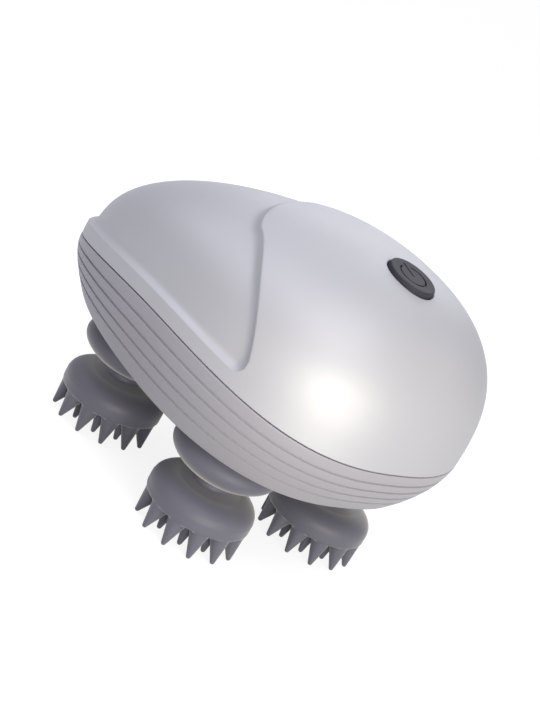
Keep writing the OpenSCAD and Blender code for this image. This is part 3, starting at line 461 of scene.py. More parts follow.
outer_levels = np.concatenate([
    np.linspace(0.004, 0.06, 36, endpoint=False), np.linspace(0.06, 0.5, 58, endpoint=False),
    np.linspace(0.5, 0.76, 66, endpoint=False), np.linspace(0.76, 0.99, 24)])
inner_levels = 0.985 * np.linspace(1, 0, 24) ** 1.3
outer = [dome(turns, level) for level in outer_levels]
inner = [dome(turns, level, WALL) for level in inner_levels]
top = dome(0.0, 1.0)
top[0] = WIDE_X + CROWN_X
ceiling = top - np.array([0, 0, WALL])
outer_mesh = ring_skin("outer", rim_rings(dome, EDGE_LIP, 1) + outer, end=top)
inner_mesh = ring_skin("inner", inner, start=ceiling)
print("upper shell rings:", len(outer), "outside,", len(inner), "inside")

# %% [markdown]
# The outside and the inside are two skins, each open at the seam. They are bridged by one band of
# quads, because both have the same number of points round them.

# %% Join the two skins


def bridged(name, skins, rim_a, rim_b):
    """One closed mesh of two skins whose rims have AROUND points, starting at the given indices."""
    points, faces, starts = [], [], []
    for skin in skins:
        starts.append(len(points))
        points += [tuple(v.co) for v in skin.vertices]
        faces += [[starts[-1] + i for i in p.vertices] for p in skin.polygons]
        bpy.data.meshes.remove(skin)
    a, b = starts[0] + rim_a, starts[1] + rim_b
    faces += [[a + i, a + (i + 1) % AROUND, b + (i + 1) % AROUND, b + i] for i in range(AROUND)]
    return outward_mesh(name, points, faces)


shell_mesh = bridged("upper_shell", [outer_mesh, inner_mesh], 0, (len(inner) - 1) * AROUND)
upper_shell = finished_piece("upper_shell", shell_mesh, pearl)
print("upper shell:", len(shell_mesh.polygons), "faces")

# %% [markdown]
# ## Button hole
# The button sits in a round hole with a small bright chamfer. The shell curves away under a flat
# cutter, so a plain countersink would be wider on one side. The cutter's rings are dropped onto
# the shell with rays, and the chamfer keeps the same width all round.

# %% Cut the hole for the button
BUTTON_X, BUTTON_Z, BUTTON_LEAN = WIDE_X + 29.6, 77.2, math.radians(10)
BUTTON_R, HOLE_GAP, CHAMFER = 6.3, 0.25, 0.24
CUT_FOOT, CUT_TOP = -6.0, 4.0
button_place = (Matrix.Translation(Vector((BUTTON_X, 0, BUTTON_Z)) * MM)
                @ Matrix.Rotation(BUTTON_LEAN, 4, "Y"))


def on_shell(tree, x, y):
    """Height of the shell over a point of the button's own plane, in mm."""
    start = button_place @ Vector((x * MM, y * MM, 20 * MM))
    down = button_place.to_3x3() @ Vector((0, 0, -1))
    hit = tree.ray_cast(start, down)[0]
    return (button_place.inverted() @ hit).z / MM


def hole_cutter():
    """A closed cutter whose chamfer follows the shell."""
    tree = BVHTree.FromObject(upper_shell, bpy.context.evaluated_depsgraph_get())
    hole = BUTTON_R + HOLE_GAP
    wide = hole + 3 * CHAMFER
    around = np.linspace(0, 2 * np.pi, 160, endpoint=False)
    flat = [(math.cos(a), math.sin(a)) for a in around]
    surface = [on_shell(tree, hole * c, hole * s) for c, s in flat]
    rings = [[(hole * c, hole * s, CUT_FOOT) for c, s in flat],
             [(hole * c, hole * s, h - CHAMFER) for (c, s), h in zip(flat, surface)],
             [(wide * c, wide * s, h + 2 * CHAMFER) for (c, s), h in zip(flat, surface)],
             [(wide * c, wide * s, CUT_TOP) for c, s in flat]]
    mesh = ring_skin("hole_cutter", rings, start=(0, 0, CUT_FOOT), end=(0, 0, CUT_TOP))
    mesh.transform(button_place)
    return finished_piece("hole_cutter", mesh, pearl)


cut_with(upper_shell, hole_cutter(), "button hole")

# %% [markdown]
# ## Socket slot
# The charging socket looks out of the tail through a slot. It is the socket's size plus a gap.

# %% Cut the slot for the socket
TAIL_X = WIDE_X - TAIL_LEN
socket_low, socket_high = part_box("charge_socket")
SLOT_GAP, SLOT_LONG, SLOT_MID, SLOT_CORNER = 0.2, 13.4, 1.7, 1.2


def slot_cutter():
    """A bar with rounded long edges, through the tail's wall."""
    bm = bmesh.new()
    bmesh.ops.create_cube(bm, size=1)
    width = (socket_high.y - socket_low.y) / MM + 2 * SLOT_GAP
    height = (socket_high.z - socket_low.z) / MM + 2 * SLOT_GAP
    middle = Vector((TAIL_X + SLOT_MID, 0, (socket_high.z + socket_low.z) / 2 / MM))
    for v in bm.verts:
        v.co = (Vector((v.co.x * SLOT_LONG, v.co.y * width, v.co.z * height)) + middle) * MM
    long_edges = [e for e in bm.edges if abs(e.verts[0].co.x - e.verts[1].co.x) > 5 * MM]
    bmesh.ops.bevel(bm, geom=long_edges, offset=SLOT_CORNER * MM, segments=6, profile=0.5,
                    affect="EDGES")
    return finished_piece("slot_cutter", mesh_of("slot_cutter", bm), pearl)


cut_with(upper_shell, slot_cutter(), "socket slot")
upper_shell.data.set_sharp_from_angle(angle=math.radians(24))
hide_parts("top_shell")
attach(upper_shell, "housing")
print("upper shell done:", len(upper_shell.data.polygons), "faces")

# %% [markdown]
# ## Lower shell
# A shallow bowl in a greyer satin plastic, with four fine grooves that run all round, parallel to
# the parting line at the top and to the base at the bottom. Grooves repeat, so Geometry Nodes cut
# them: a smooth bowl carries its depth and its inward direction at each point, and the tree
# pushes points in near each groove. Their number, pitch, width and depth are inputs, and one
# change moves them all.

# %% Smooth bowl with its depth as an attribute
BOWL_TAPER, BOWL_CURVE, BOWL_SHIFT, BASE_TILT = 0.11, 1.89, -1.84, 0.05
FIRST_GROOVE, GROOVE_PITCH, GROOVE_COUNT = 0.2, 0.177, 4
GROOVE_HALF, GROOVE_DEPTH = 0.024, 0.55
CHANNEL_OUT, CHANNEL_IN, CHANNEL_DEEP = 0.7, 1.7, 0.9


def bowl(turn, level, inset=0.0):
    """Points of the lower shell in the part's frame, in mm. level is 1 at the base."""
    turn, level = np.broadcast_arrays(np.asarray(turn, float), np.asarray(level, float))
    shrink = 1 - BOWL_TAPER * level ** BOWL_CURVE
    x, y = outline(turn, inset)
    x = x * shrink + BOWL_SHIFT * level
    z = parting(x) * (1 - level) + (PARTING_Z - BOWL_H - BASE_TILT * x) * level
    return np.stack([x + WIDE_X, y * shrink, z - SEAM * (1 - level)], -1)


grooves = [FIRST_GROOVE + GROOVE_PITCH * k for k in range(GROOVE_COUNT)]
fine = [g + GROOVE_HALF * w for g in grooves for w in np.linspace(-1.1, 1.1, 13)]
coarse = [v for v in np.linspace(0.012, 0.985, 60)
          if all(abs(v - g) > 1.2 * GROOVE_HALF for g in grooves)]
levels = np.array(sorted(fine + coarse))
base_lip = [bowl(turns, 1 - 0.009 * rise, EDGE_LIP * across)
            for across, rise in ((0.08, 0.62), (0.29, 0.29), (0.62, 0.08), (1, 0))]
inner_levels = [1, 0.85, 0.7, 0.55, 0.4, 0.25, 0.1, 0]
channel = [bowl(turns, 0, inset) - np.array([0, 0, drop])
           for inset, drop in ((CHANNEL_IN, 0), (CHANNEL_IN, CHANNEL_DEEP),
                               (CHANNEL_OUT, CHANNEL_DEEP), (CHANNEL_OUT, 0))]
stack = (rim_rings(bowl, EDGE_LIP, -1) + [bowl(turns, level) for level in levels] + base_lip
         + [bowl(turns, level, WALL) for level in inner_levels] + channel)
bowl_mesh = ring_skin("lower_shell", stack, loop=True)
first = 4 * AROUND
count = len(levels) * AROUND
depth = np.full(len(bowl_mesh.vertices), -1.0)
depth[first:first + count] = np.repeat(levels, AROUND)
inward = np.zeros((len(bowl_mesh.vertices), 3))
inward[first:first + count] = np.concatenate(
    [bowl(turns, level, 1.0) - bowl(turns, level, 0.0) for level in levels])
inward /= np.maximum(np.linalg.norm(inward, axis=1, keepdims=True), 1e-9)
bowl_mesh.attributes.new("depth", "FLOAT", "POINT").data.foreach_set("value", depth)
way_in = bowl_mesh.attributes.new("inward", "FLOAT_VECTOR", "POINT")
way_in.data.foreach_set("vector", inward.ravel())
print("lower shell:", len(bowl_mesh.polygons), "faces,", GROOVE_COUNT, "grooves to cut")

# %% [markdown]
# A tree gets its inputs by name, with a default each. The modifier's values are then set by the
# sockets' identifiers. After that the evaluated object gives a plain mesh, which is what is kept.

# %% Geometry Nodes helpers


def new_tree(name, inputs):
    """A geometry tree with named inputs, its input node's sockets and its output node."""
    tree = bpy.data.node_groups.new(name, "GeometryNodeTree")
    tree.interface.new_socket("Geometry", in_out="INPUT", socket_type="NodeSocketGeometry")
    for label, (kind, default) in inputs.items():
        socket = tree.interface.new_socket(label, in_out="INPUT", socket_type=kind)
        if default is not None:
            socket.default_value = default
    tree.interface.new_socket("Geometry", in_out="OUTPUT", socket_type="NodeSocketGeometry")
    start = add_node(tree, "NodeGroupInput")
    return tree, start.outputs, add_node(tree, "NodeGroupOutput")


def grown_mesh(mesh, tree, values):
    """Runs a tree on a mesh with the given input values and returns a plain mesh."""
    holder = new_object("holder", mesh)
    modifier = holder.modifiers.new("tree", "NODES")
    modifier.node_group = tree
    sockets = {s.name: s.identifier for s in tree.interface.items_tree if s.in_out == "INPUT"}
    for label, value in values.items():
        modifier[sockets[label]] = value
    graph = bpy.context.evaluated_depsgraph_get()
    made = bpy.data.meshes.new_from_object(holder.evaluated_get(graph))
    bpy.data.objects.remove(holder)
    return made


def calculate(tree, operation, *values):
    """The result of one Math node."""
    return node_out(tree, "ShaderNodeMath", dict(enumerate(values)), operation=operation)


def stored(tree, name, data_type):
    """The value of an attribute that the points carry."""
    return node_out(tree, "GeometryNodeInputNamedAttribute", {"Name": name}, data_type=data_type)


def give_out(tree, geometry, finish, result):
    """Ends a tree with real geometry in one material."""
    real = node_out(tree, "GeometryNodeRealizeInstances", {"Geometry": geometry})
    painted = node_out(tree, "GeometryNodeSetMaterial", {"Geometry": real, "Material": finish})
    tree.links.new(painted, result.inputs["Geometry"])


# %% Cut the grooves
FLOAT, MATERIAL = "NodeSocketFloat", "NodeSocketMaterial"
groove_tree, given, result = new_tree("ring_grooves", {
    "First Groove": (FLOAT, 0.2), "Pitch": (FLOAT, 0.18), "Count": (FLOAT, 4.0),
    "Half Width": (FLOAT, 0.02), "Groove Depth": (FLOAT, 0.0005), "Finish": (MATERIAL, None)})
depth_in = stored(groove_tree, "depth", "FLOAT")
inward_in = stored(groove_tree, "inward", "FLOAT_VECTOR")
along = calculate(groove_tree, "SUBTRACT", depth_in, given["First Groove"])
step = calculate(groove_tree, "DIVIDE", along, given["Pitch"])
last = calculate(groove_tree, "SUBTRACT", given["Count"], 1.0)
nearest = calculate(groove_tree, "MINIMUM", calculate(groove_tree, "ROUND", step), last)
nearest = calculate(groove_tree, "MAXIMUM", nearest, 0.0)
off = calculate(groove_tree, "ABSOLUTE", calculate(groove_tree, "SUBTRACT", step, nearest))
off = calculate(groove_tree, "DIVIDE", calculate(groove_tree, "MULTIPLY", off, given["Pitch"]),
                given["Half Width"])
share = node_out(groove_tree, "ShaderNodeMapRange", {
    "Value": off, "From Min": 0.15, "From Max": 1.0, "To Min": 1.0, "To Max": 0.0},
    interpolation_type="SMOOTHSTEP")
push = calculate(groove_tree, "MULTIPLY", share, given["Groove Depth"])
offset = node_out(groove_tree, "ShaderNodeVectorMath",
                  {0: inward_in, "Scale": push}, operation="SCALE")
moved = node_out(groove_tree, "GeometryNodeSetPosition", {
    "Geometry": given["Geometry"], "Offset": offset})
give_out(groove_tree, moved, given["Finish"], result)
ribbed_mesh = grown_mesh(bowl_mesh, groove_tree, {
    "First Groove": FIRST_GROOVE, "Pitch": GROOVE_PITCH, "Count": float(GROOVE_COUNT),
    "Half Width": GROOVE_HALF, "Groove Depth": GROOVE_DEPTH * MM, "Finish": ribbed_plastic})
lower_shell = finished_piece("lower_shell", ribbed_mesh, sharp_deg=50)
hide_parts("bottom_shell")
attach(lower_shell, "housing")
print("lower shell done:", len(ribbed_mesh.polygons), "faces")

# %% [markdown]
# ## Seal between the shells
# A rubber cord lies in a channel of the lower shell's rim. Only its shadow shows, as a thin dark
# line.

# %% Seal
SEAL_GAP = 0.02
seal_top, seal_foot = 2 * SEAM - SEAL_GAP, SEAL_GAP - CHANNEL_DEEP
seal_corners = [(CHANNEL_OUT + SEAL_GAP, seal_top), (CHANNEL_OUT + SEAL_GAP, seal_foot),
                (CHANNEL_IN - SEAL_GAP, seal_foot), (CHANNEL_IN - SEAL_GAP, seal_top)]
seal_rings = [bowl(turns, 0, inset) + np.array([0, 0, rise]) for inset, rise in seal_corners]
seal = finished_piece("shell_seal", ring_skin("shell_seal", seal_rings, loop=True), seal_rubber,
                      sharp_deg=40)
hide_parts("parting_gasket")
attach(seal, "housing")
print("seal:", len(seal.data.polygons), "faces")

# %% [markdown]
# ## Button
# A flat dark disc with a steep side and a small rounded edge stands just over 1 mm proud. A
# generic power sign is sunk into its face: an open ring and a bar that points to the grip. The
# sign is cut with two cutters in a near-black material, painted shade of the narrow grooves,
# which goes onto the cut faces, so that the lines keep their dark look when the lamps change.

# %% Button cap
CAP_TOP, CAP_EDGE, SKIRT, SKIRT_WALL, ROOF_Z = 1.1, 0.28, 2.4, 1.6, -0.7
DRAFT, DISH = 0.1, 0.1
SIGN_R, SIGN_HALF, SIGN_DEPTH, SIGN_GAP_DEG = 3.55, 0.22, 0.3, 27.0
BAR_FROM, BAR_TO = -0.1, 4.4

cap_profile = ([(BUTTON_R - SKIRT_WALL, ROOF_Z), (BUTTON_R - SKIRT_WALL, -SKIRT),
                (BUTTON_R, -SKIRT), (BUTTON_R, 0.2)]
               + arc((BUTTON_R - DRAFT - CAP_EDGE, CAP_TOP - CAP_EDGE), CAP_EDGE, 4, 90, 8)
               + [(BUTTON_R - 1.2, CAP_TOP - 0.2 * DISH), (3.0, CAP_TOP - 0.8 * DISH),
                  (1.0, CAP_TOP - DISH)])
cap_mesh = ring_skin("button_cap", lathe_rings(cap_profile, 192), start=(0, 0, ROOF_Z),
                     end=(0, 0, CAP_TOP - DISH))
button_cap = finished_piece("button_cap", cap_mesh, button_plastic)


def bent_bar(name, path, half, low, high):
    """A closed bar of constant width along a path in the button's plane, with rounded ends."""
    path = np.asarray(path, float)
    along = np.gradient(path, axis=0)
    along /= np.linalg.norm(along, axis=1, keepdims=True)
    side = np.stack([-along[:, 1], along[:, 0]], -1)
    left, right = path + side * half, path - side * half
    turn = np.radians(np.linspace(90, -90, 9))[1:-1]

    def cap_end(centre, way, across):
        return [centre + half * (np.cos(t) * way + np.sin(t) * across) for t in turn]

    ends = cap_end(path[-1], along[-1], side[-1]), cap_end(path[0], -along[0], -side[0])
    loop = np.concatenate([left, ends[0], right[::-1], ends[1]])
    bm = bmesh.new()
    for z in (low, high):
        bm.faces.new([bm.verts.new((x * MM, y * MM, z * MM)) for x, y in loop])
    bm.verts.ensure_lookup_table()
    n = len(loop)
    for i in range(n):
        bm.faces.new([bm.verts[k] for k in (i, (i + 1) % n, n + (i + 1) % n, n + i)])
    bmesh.ops.recalc_face_normals(bm, faces=bm.faces)
    # The bar's near-black material, painted groove shade, goes onto the faces that it cuts
    return finished_piece(name, mesh_of(name, bm), symbol_painted_shade)


ring_turn = np.radians(np.linspace(180 + SIGN_GAP_DEG, 540 - SIGN_GAP_DEG, 72))
ring_path = SIGN_R * np.stack([np.cos(ring_turn), np.sin(ring_turn)], -1)
bar_path = np.stack([-np.linspace(BAR_FROM, BAR_TO, 12), np.zeros(12)], -1)
sunk, above = CAP_TOP - DISH - SIGN_DEPTH, CAP_TOP + 1
cut_with(button_cap, bent_bar("sign_ring", ring_path, SIGN_HALF, sunk, above), "power sign ring")
cut_with(button_cap, bent_bar("sign_bar", bar_path, SIGN_HALF, sunk, above), "power sign bar")
button_cap.data.set_sharp_from_angle(angle=math.radians(28))
button_cap.data.transform(button_place)
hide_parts("power_button")
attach(button_cap, "button")
print("button:", len(button_cap.data.polygons), "faces")

# %% [markdown]
# ## Necks
# Each head's shaft leaves the base through a fixed soft boot of silicone that is pushed over the
# shaft's boss. It is a flattened ball with a short neck above it. The wall is lathed in one loop:
# down the outside, round the lip of the opening for the head's hub, up the inside and up the
# bore.

# %% Necks
BALL_R, BALL_HALF_H, BALL_Z, NECK_WALL, MOUTH_R = 13.75, 6.0, 22.25, 2.0, 5.8
NECK_R, BORE_R, NECK_TOP = 8.8, 6.05, 31.0
PITCH_X, GEAR_CENTRES = 44.4, 30
PITCH_Y = 2 * math.sqrt(GEAR_CENTRES ** 2 - (PITCH_X / 2) ** 2)
HEADS = [(HEAD_MID_X + sx * PITCH_X / 2, sy * PITCH_Y / 2)
         for sx, sy in ((1, -1), (1, 1), (-1, 1), (-1, -1))]


def oval(radius, half_height, start_r, end_r, steps):
    """Points of a flattened ball's outline, from start_r above its middle to end_r below it."""
    start, end = math.acos(start_r / radius), -math.acos(end_r / radius)
    return [(radius * math.cos(t), BALL_Z + half_height * math.sin(t))
            for t in np.linspace(start, end, steps)]


def neck(number, x, y):
    """The boot over one head, with its top moved to the slope of the base."""
    outside = oval(BALL_R, BALL_HALF_H, NECK_R, MOUTH_R + 0.45, 64)
    inside = oval(BALL_R - NECK_WALL, BALL_HALF_H - NECK_WALL, BORE_R, MOUTH_R + 0.1, 32)[::-1]
    low_out, low_in = outside[-1][1], inside[0][1]
    lip = [(MOUTH_R + 0.13, low_out + 0.05), (MOUTH_R, low_out + 0.36), (MOUTH_R, low_in - 0.25)]
    root = outside[0][1]
    profile = ([(NECK_R, NECK_TOP), (NECK_R, root + 0.12), (NECK_R + 0.12, root - 0.02)]
               + outside[1:] + lip + inside + [(BORE_R, NECK_TOP)])
    rings = lathe_rings(profile, 160) + np.array([x, y, 0])
    base = PARTING_Z - BOWL_H - BASE_TILT * (rings[..., 0] - WIDE_X) - 0.06
    rings[..., 2] = np.minimum(rings[..., 2], base)
    return finished_piece(f"neck_skin_{number}", ring_skin("neck", rings, loop=True), silicone,
                          sharp_deg=40)


for number, (x, y) in enumerate(HEADS, 1):
    piece = neck(number, x, y)
    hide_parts(f"neck_dome_{number}")
    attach(piece, "housing")
print("necks:", len(piece.data.polygons), "faces each")

# %% [markdown]
# ## Claw heads
# A head is one piece of silicone: a cap with a straight rim band and a rounded shoulder, a hub
# that runs up into the neck, and two rings of claws. The claws repeat, so a tree sets them out on
# a circle: a tapered cone with a ball for its tip, leaned so that its outer side carries on the
# band. The parts are then melted into one skin with a voxel remesh, which leaves the soft inside
# corners that moulded silicone has. A boolean union would leave hard ones.

# %% Tree for a ring of claws
claw_tree, given, result = new_tree("claw_ring", {
    "Count": ("NodeSocketInt", 12), "Ring Radius": (FLOAT, 0.0126), "Foot Radius": (FLOAT, 0.0027),
    "Tip Radius": (FLOAT, 0.00065), "Length": (FLOAT, 0.006), "Tip Height": (FLOAT, 0.0),
    "Lean": (FLOAT, 0.2), "Phase": (FLOAT, 0.0), "Finish": (MATERIAL, None)})
ball = node_out(claw_tree, "GeometryNodeMeshUVSphere",
                {"Segments": 20, "Rings": 12, "Radius": given["Tip Radius"]})
cone = node_out(claw_tree, "GeometryNodeMeshCone", {
    "Vertices": 28, "Side Segments": 10, "Fill Segments": 2, "Radius Top": given["Foot Radius"],
    "Radius Bottom": given["Tip Radius"], "Depth": given["Length"]})
one_claw = add_node(claw_tree, "GeometryNodeJoinGeometry", {"Geometry": ball})
claw_tree.links.new(cone, one_claw.inputs["Geometry"])
circle = node_out(claw_tree, "GeometryNodeMeshCircle",
                  {"Vertices": given["Count"], "Radius": given["Ring Radius"]}, fill_type="NONE")
number_in = node_out(claw_tree, "GeometryNodeInputIndex")
slice_angle = calculate(claw_tree, "DIVIDE", math.tau, given["Count"])
bearing = calculate(claw_tree, "MULTIPLY", number_in, slice_angle)
lean_back = calculate(claw_tree, "MULTIPLY", given["Lean"], -1.0)
turned = node_out(claw_tree, "ShaderNodeCombineXYZ", {"Y": lean_back, "Z": bearing})
rotation = node_out(claw_tree, "FunctionNodeEulerToRotation", {"Euler": turned})
placed = node_out(claw_tree, "GeometryNodeInstanceOnPoints", {
    "Points": circle, "Instance": one_claw.outputs["Geometry"], "Rotation": rotation})
lift = calculate(claw_tree, "ADD", given["Tip Height"], given["Tip Radius"])
up = node_out(claw_tree, "ShaderNodeCombineXYZ", {"Z": lift})
spin = node_out(claw_tree, "ShaderNodeCombineXYZ", {"Z": given["Phase"]})
set_out = node_out(claw_tree, "GeometryNodeTransform", {
    "Geometry": placed, "Translation": up, "Rotation": spin})
give_out(claw_tree, set_out, given["Finish"], result)


def claw_ring(count, ring, foot_ring, foot, tip, phase_deg):
    """One ring of claws, with its tips on the circle ring and its feet on foot_ring."""
    rise = RIM_Z + FOOT_SUNK - tip
    return grown_mesh(bpy.data.meshes.new("empty"), claw_tree, {
        "Count": count, "Ring Radius": ring * MM, "Foot Radius": foot * MM, "Tip Radius": tip * MM,
        "Length": math.hypot(ring - foot_ring, rise) * MM, "Tip Height": 0.0,
        "Lean": math.atan((ring - foot_ring) / rise), "Phase": math.radians(phase_deg),
        "Finish": silicone})


RIM_R, RIM_Z, BAND_H, CAP_R, CAP_Z, CROWN_Z = 13.5, 7.0, 3.0, 8.0, 13.7, 14.2
HUB_R, HUB_Z, FILLET = 4.4, 21.6, 0.9
OUTER_COUNT, INNER_COUNT, TIP_R, FOOT_SUNK = 12, 8, 0.65, 0.9
OUTER_FOOT_R, INNER_FOOT_R = 2.9, 2.2
outer_claws = claw_ring(OUTER_COUNT, 12.6, RIM_R - OUTER_FOOT_R, OUTER_FOOT_R, TIP_R, -119.7)
inner_claws = claw_ring(INNER_COUNT, 8.2, 7.6, INNER_FOOT_R, TIP_R, -89)
print("claws:", len(outer_claws.polygons) // OUTER_COUNT, "faces each")

# %% [markdown]
# The cap's profile is drawn once and lathed. The band ends in a crisp upper corner, the shoulder
# rises as part of an ellipse, and a low crown leads up to the hub.

# %% Cap profile and the finished head
VOXEL = 0.25


def cap_rings():
    """Rings of the cap and its hub, from the rim's lower edge up."""
    band_z = RIM_Z + BAND_H
    across, rise = RIM_R - 0.1 - CAP_R, CAP_Z - band_z
    shoulder = [(CAP_R + across * math.cos(t), band_z + rise * math.sin(t))
                for t in np.linspace(0.03, math.pi / 2, 24)]
    fillet = arc((HUB_R + FILLET, CROWN_Z + FILLET), FILLET, 270, 180, 8)
    profile = ([(RIM_R - 0.6, RIM_Z), (RIM_R - 0.2, RIM_Z + 0.12), (RIM_R, RIM_Z + 0.5),
                (RIM_R, band_z - 0.03)]
               + shoulder + fillet + [(HUB_R, HUB_Z - 0.4), (HUB_R - 0.4, HUB_Z)])
    return lathe_rings(profile, 128)


def melted(name, meshes):
    """One skin of several closed meshes, by a voxel remesh and a light smoothing."""
    bm = bmesh.new()
    for mesh in meshes:
        bm.from_mesh(mesh)
    holder = finished_piece(name, mesh_of(name, bm))
    remesh = holder.modifiers.new("melt", "REMESH")
    remesh.mode, remesh.voxel_size, remesh.use_smooth_shade = "VOXEL", VOXEL * MM, True
    smooth = holder.modifiers.new("soften", "SMOOTH")
    smooth.factor, smooth.iterations = 0.5, 3
    made = bpy.data.meshes.new_from_object(
        holder.evaluated_get(bpy.context.evaluated_depsgraph_get()))
    bpy.data.objects.remove(holder)
    return made


cap_mesh = ring_skin("cap", cap_rings(), start=(0, 0, RIM_Z), end=(0, 0, HUB_Z))
head_mesh = melted("claw_head", [cap_mesh, outer_claws, inner_claws])
for number, (x, y) in enumerate(HEADS, 1):
    mesh = head_mesh.copy()
    mesh.transform(Matrix.Translation((x * MM, y * MM, 0)))
    head = finished_piece(f"claw_head_skin_{number}", mesh, silicone)
    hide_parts(f"claw_head_{number}")
    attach(head, f"head_{number}")
print("claw heads:", len(head_mesh.polygons), "faces each")

# %% [markdown]
# ## Socket cover
# A soft flap lies over the socket in the tail, curved like the shell. It is a rounded rectangle
# laid on the shell's own surface, thick in the middle and rolled off at its edge, with three
# small ridges near the top for a fingernail.

# %% Socket cover
COVER_W, COVER_H, COVER_T, COVER_LIFT = 12.4, 6.4, 1.1, 0.1
COVER_POWER, EDGE_ROLL = 4.0, 0.5
RIDGES, RIDGE_RISE, RIDGE_WIDE, RIDGE_END = (1.2, 1.8, 2.4), 0.16, 0.22, 4.2
cover_z = (socket_low.z + socket_high.z) / 2 / MM


def tail_level(z):
    """Level of the dome that has this height at the tail, inside the recess."""
    rise = (z + 0.3 * RECESS_D - SEAM - parting(3 - TAIL_LEN)) / DOME_H
    return np.arcsin(np.maximum(rise, 0) ** (1 / DOME_Q)) / (np.pi / 2)


def tail_turn(y):
    """Angle of the outline at the tail that has this y."""
    return 180 - np.sign(y) * np.degrees(np.arcsin((np.abs(y) / HALF_W) ** (TAIL_POWER / 2)))


def flap_rings(steps, around=120):
    """Rings from the middle of the flap to its edge, with their share of the way."""
    turn = np.linspace(0, 2 * np.pi, around, endpoint=False)
    y = COVER_W / 2 * signed_power(np.cos(turn), 2 / COVER_POWER)
    z = COVER_H / 2 * signed_power(np.sin(turn), 2 / COVER_POWER)
    for share, lift in steps:
        ridge = sum(np.exp(-((z * share - place) / RIDGE_WIDE) ** 2) for place in RIDGES)
        on_top = ease((RIDGE_END - np.abs(y * share)) / 0.5) * (lift > COVER_T / 2)
        ridge = RIDGE_RISE * ridge * on_top
        yield dome(tail_turn(y * share), tail_level(cover_z + z * share), -(lift + ridge))


top_lift = COVER_LIFT + COVER_T - RIDGE_RISE
steps = ([(s, top_lift) for s in np.linspace(0.04, 0.9, 26)]
         + [(0.9 + 0.1 * math.sin(t), top_lift - EDGE_ROLL * (1 - math.cos(t)))
            for t in np.linspace(0.2, math.pi / 2, 8)]
         + [(1.0, COVER_LIFT + 0.15), (0.985, COVER_LIFT)]
         + [(s, COVER_LIFT) for s in (0.8, 0.5, 0.2)])
rings = np.array(list(flap_rings(steps)))
flap_mesh = ring_skin("socket_flap", rings, start=rings[0].mean(0), end=rings[-1].mean(0))
flap = finished_piece("socket_flap", flap_mesh, silicone)
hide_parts("socket_cover")
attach(flap, "cover")
print("socket cover:", len(flap.data.polygons), "faces")

# %% [markdown]
# ## Screws in the base
# Four long screws hold the shells together from below. Their heads lie in pockets of the base
# plate. A tree makes a head, cuts its cross recess and sets it on four points. It does the same
# with a shank of unit length, and stretches each one by the length that its point carries.

# %% Screws
screw_tree, given, result = new_tree("cross_head_screws", {
    "Head Radius": (FLOAT, 0.0025), "Head Height": (FLOAT, 0.0012), "Recess Width": (FLOAT, 0.0007),
    "Recess Length": (FLOAT, 0.003), "Shank Radius": (FLOAT, 0.0013), "Finish": (MATERIAL, None)})
disc = node_out(screw_tree, "GeometryNodeMeshCylinder", {
    "Vertices": 48, "Radius": given["Head Radius"], "Depth": given["Head Height"]})
cut = add_node(screw_tree, "GeometryNodeMeshBoolean", {"Mesh 1": disc},
               operation="DIFFERENCE", solver="EXACT")
half_down = node_out(screw_tree, "ShaderNodeCombineXYZ",
                     {"Z": calculate(screw_tree, "MULTIPLY", given["Head Height"], -0.5)})
for long_axis, other in ("XY", "YX"):
    size = node_out(screw_tree, "ShaderNodeCombineXYZ", {
        long_axis: given["Recess Length"], other: given["Recess Width"], "Z": given["Head Height"]})
    bar = node_out(screw_tree, "GeometryNodeMeshCube", {"Size": size})
    sunk_bar = node_out(screw_tree, "GeometryNodeTransform",
                        {"Geometry": bar, "Translation": half_down})
    screw_tree.links.new(sunk_bar, cut.inputs["Mesh 2"])
unit_shank = node_out(screw_tree, "GeometryNodeMeshCylinder", {
    "Vertices": 32, "Radius": given["Shank Radius"], "Depth": 1.0})
half_up = node_out(screw_tree, "ShaderNodeCombineXYZ", {"Z": 0.5})
standing = node_out(screw_tree, "GeometryNodeTransform", {
    "Geometry": unit_shank, "Translation": half_up})
stretch = node_out(screw_tree, "ShaderNodeCombineXYZ",
                   {"X": 1.0, "Y": 1.0, "Z": stored(screw_tree, "length", "FLOAT")})
heads = node_out(screw_tree, "GeometryNodeInstanceOnPoints",
                 {"Points": given["Geometry"], "Instance": cut.outputs["Mesh"]})
shanks = node_out(screw_tree, "GeometryNodeInstanceOnPoints", {
    "Points": given["Geometry"], "Instance": standing, "Scale": stretch})
both = add_node(screw_tree, "GeometryNodeJoinGeometry", {"Geometry": heads})
screw_tree.links.new(shanks, both.inputs["Geometry"])
give_out(screw_tree, both.outputs["Geometry"], given["Finish"], result)

SCREWS = [(x, side * y) for side in (-1, 1)
          for x, y in ((HEAD_MID_X, HALF_W - 11), (TAIL_X + 15.4, 12.0))]
HEAD_H, SUNK, GRIP = 1.2, 0.22, 9.0
middle = [PARTING_Z - BOWL_H - BASE_TILT * (x - WIDE_X) + SUNK + HEAD_H / 2 for x, y in SCREWS]
points = bpy.data.meshes.new("screw_points")
points.from_pydata([(x * MM, y * MM, z * MM) for (x, y), z in zip(SCREWS, middle)], [], [])
lengths = [(parting(x - WIDE_X) + GRIP - z) * MM for (x, y), z in zip(SCREWS, middle)]
points.attributes.new("length", "FLOAT", "POINT").data.foreach_set("value", lengths)
screw_mesh = grown_mesh(points, screw_tree, {"Finish": steel})
screws = finished_piece("base_screws", screw_mesh, sharp_deg=30)
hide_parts("shell_screws")
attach(screws, "housing")
print("screws:", len(screw_mesh.polygons), "faces")

# %% [markdown]
# ## Studio
# The photograph has a plain white ground and soft light with one broad highlight low on the nose.
# A wide, low lamp in front gives that highlight. Weaker ones above, behind and over the tail
# shape the crown, the back edge and the grip, and an even grey world keeps the rest at its own
# colour. The floor and the world look white to the camera only, so the white ground adds no light
# to the massager, and the floor still takes its shadow.

# %% Floor and world


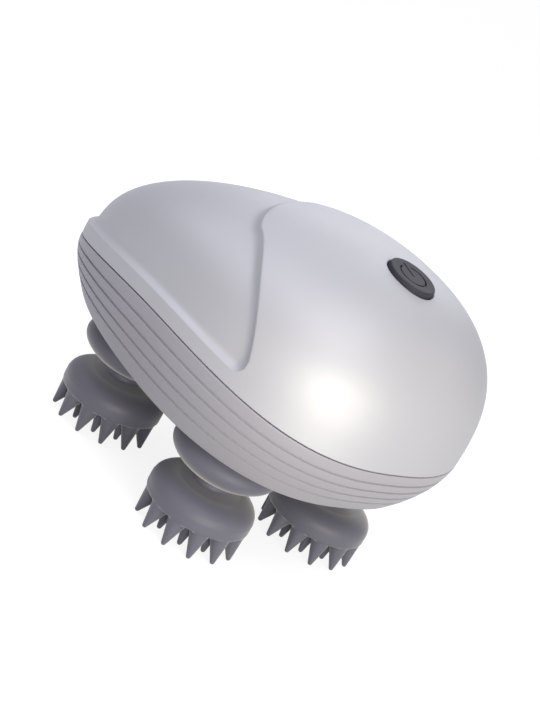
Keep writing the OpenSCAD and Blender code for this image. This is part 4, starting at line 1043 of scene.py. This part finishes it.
def white_to_camera(tree, plain, shown):
    """Mixes a shader for light with the one that the camera, reflections and glass see."""
    path = add_node(tree, "ShaderNodeLightPath")
    seen = path.outputs["Is Camera Ray"]
    for ray in ("Is Glossy Ray", "Is Transmission Ray"):
        seen = calculate(tree, "MAXIMUM", seen, path.outputs[ray])
    return node_out(tree, "ShaderNodeMixShader", {0: seen, 1: plain, 2: shown})


FLOOR_R = 4.0
floor_finish, tree = bare_material("pale_floor")
matt = node_out(tree, "ShaderNodeBsdfDiffuse", {"Color": linear("#929296")})
shade = node_out(tree, "ShaderNodeBsdfDiffuse", {"Color": linear("#8C8C90")})
glow = node_out(tree, "ShaderNodeEmission", {"Color": (1, 1, 1, 1), "Strength": 0.86})
lit = node_out(tree, "ShaderNodeAddShader", {0: shade, 1: glow})
add_node(tree, "ShaderNodeOutputMaterial", {"Surface": white_to_camera(tree, matt, lit)})
bm = bmesh.new()
bmesh.ops.create_circle(bm, cap_ends=True, radius=FLOOR_R, segments=96)
floor = finished_piece("floor", mesh_of("floor", bm), floor_finish)

world = bpy.data.worlds.new("studio")
bpy.context.scene.world = world
world.use_nodes = True
tree = world.node_tree
tree.nodes.clear()
even = node_out(tree, "ShaderNodeBackground", {"Color": linear("#F2F2F6"), "Strength": 0.56})
white = node_out(tree, "ShaderNodeBackground", {"Color": (1, 1, 1, 1), "Strength": 1.0})
path = add_node(tree, "ShaderNodeLightPath")
mixed = node_out(tree, "ShaderNodeMixShader",
                 {0: path.outputs["Is Camera Ray"], 1: even, 2: white})
add_node(tree, "ShaderNodeOutputWorld", {"Surface": mixed})
print("floor and world ready")

# %% Lamps


def soft_lamp(name, place, target, size, power, colour="#FFFFFF"):
    """A soft box of a width and height, aimed at a point. Places and sizes are in mm."""
    data = bpy.data.lights.new(name, "AREA")
    data.shape, data.energy = "RECTANGLE", power
    data.size, data.size_y = (side * MM for side in size)
    data.color = linear(colour)[:3]
    lamp = new_object(name, data)
    place, target = Vector(place) * MM, Vector(target) * MM
    lamp.location = place
    lamp.rotation_mode = "QUATERNION"
    lamp.rotation_quaternion = (target - place).to_track_quat("-Z", "Y")


MIDDLE = (0, 0, 45)
soft_lamp("key_lamp", (565, -200, 105), MIDDLE, (480, 190), 3.35, "#FFFAE6")
soft_lamp("top_lamp", (260, -150, 570), MIDDLE, (300, 300), 1.15)
soft_lamp("back_lamp", (-334, 398, 350), MIDDLE, (400, 400), 1.0)
soft_lamp("tail_lamp", (-282, -197, 541), MIDDLE, (480, 400), 1.05, "#F4F4FF")
bpy.context.scene.view_settings.view_transform = "Standard"
print("four lamps")
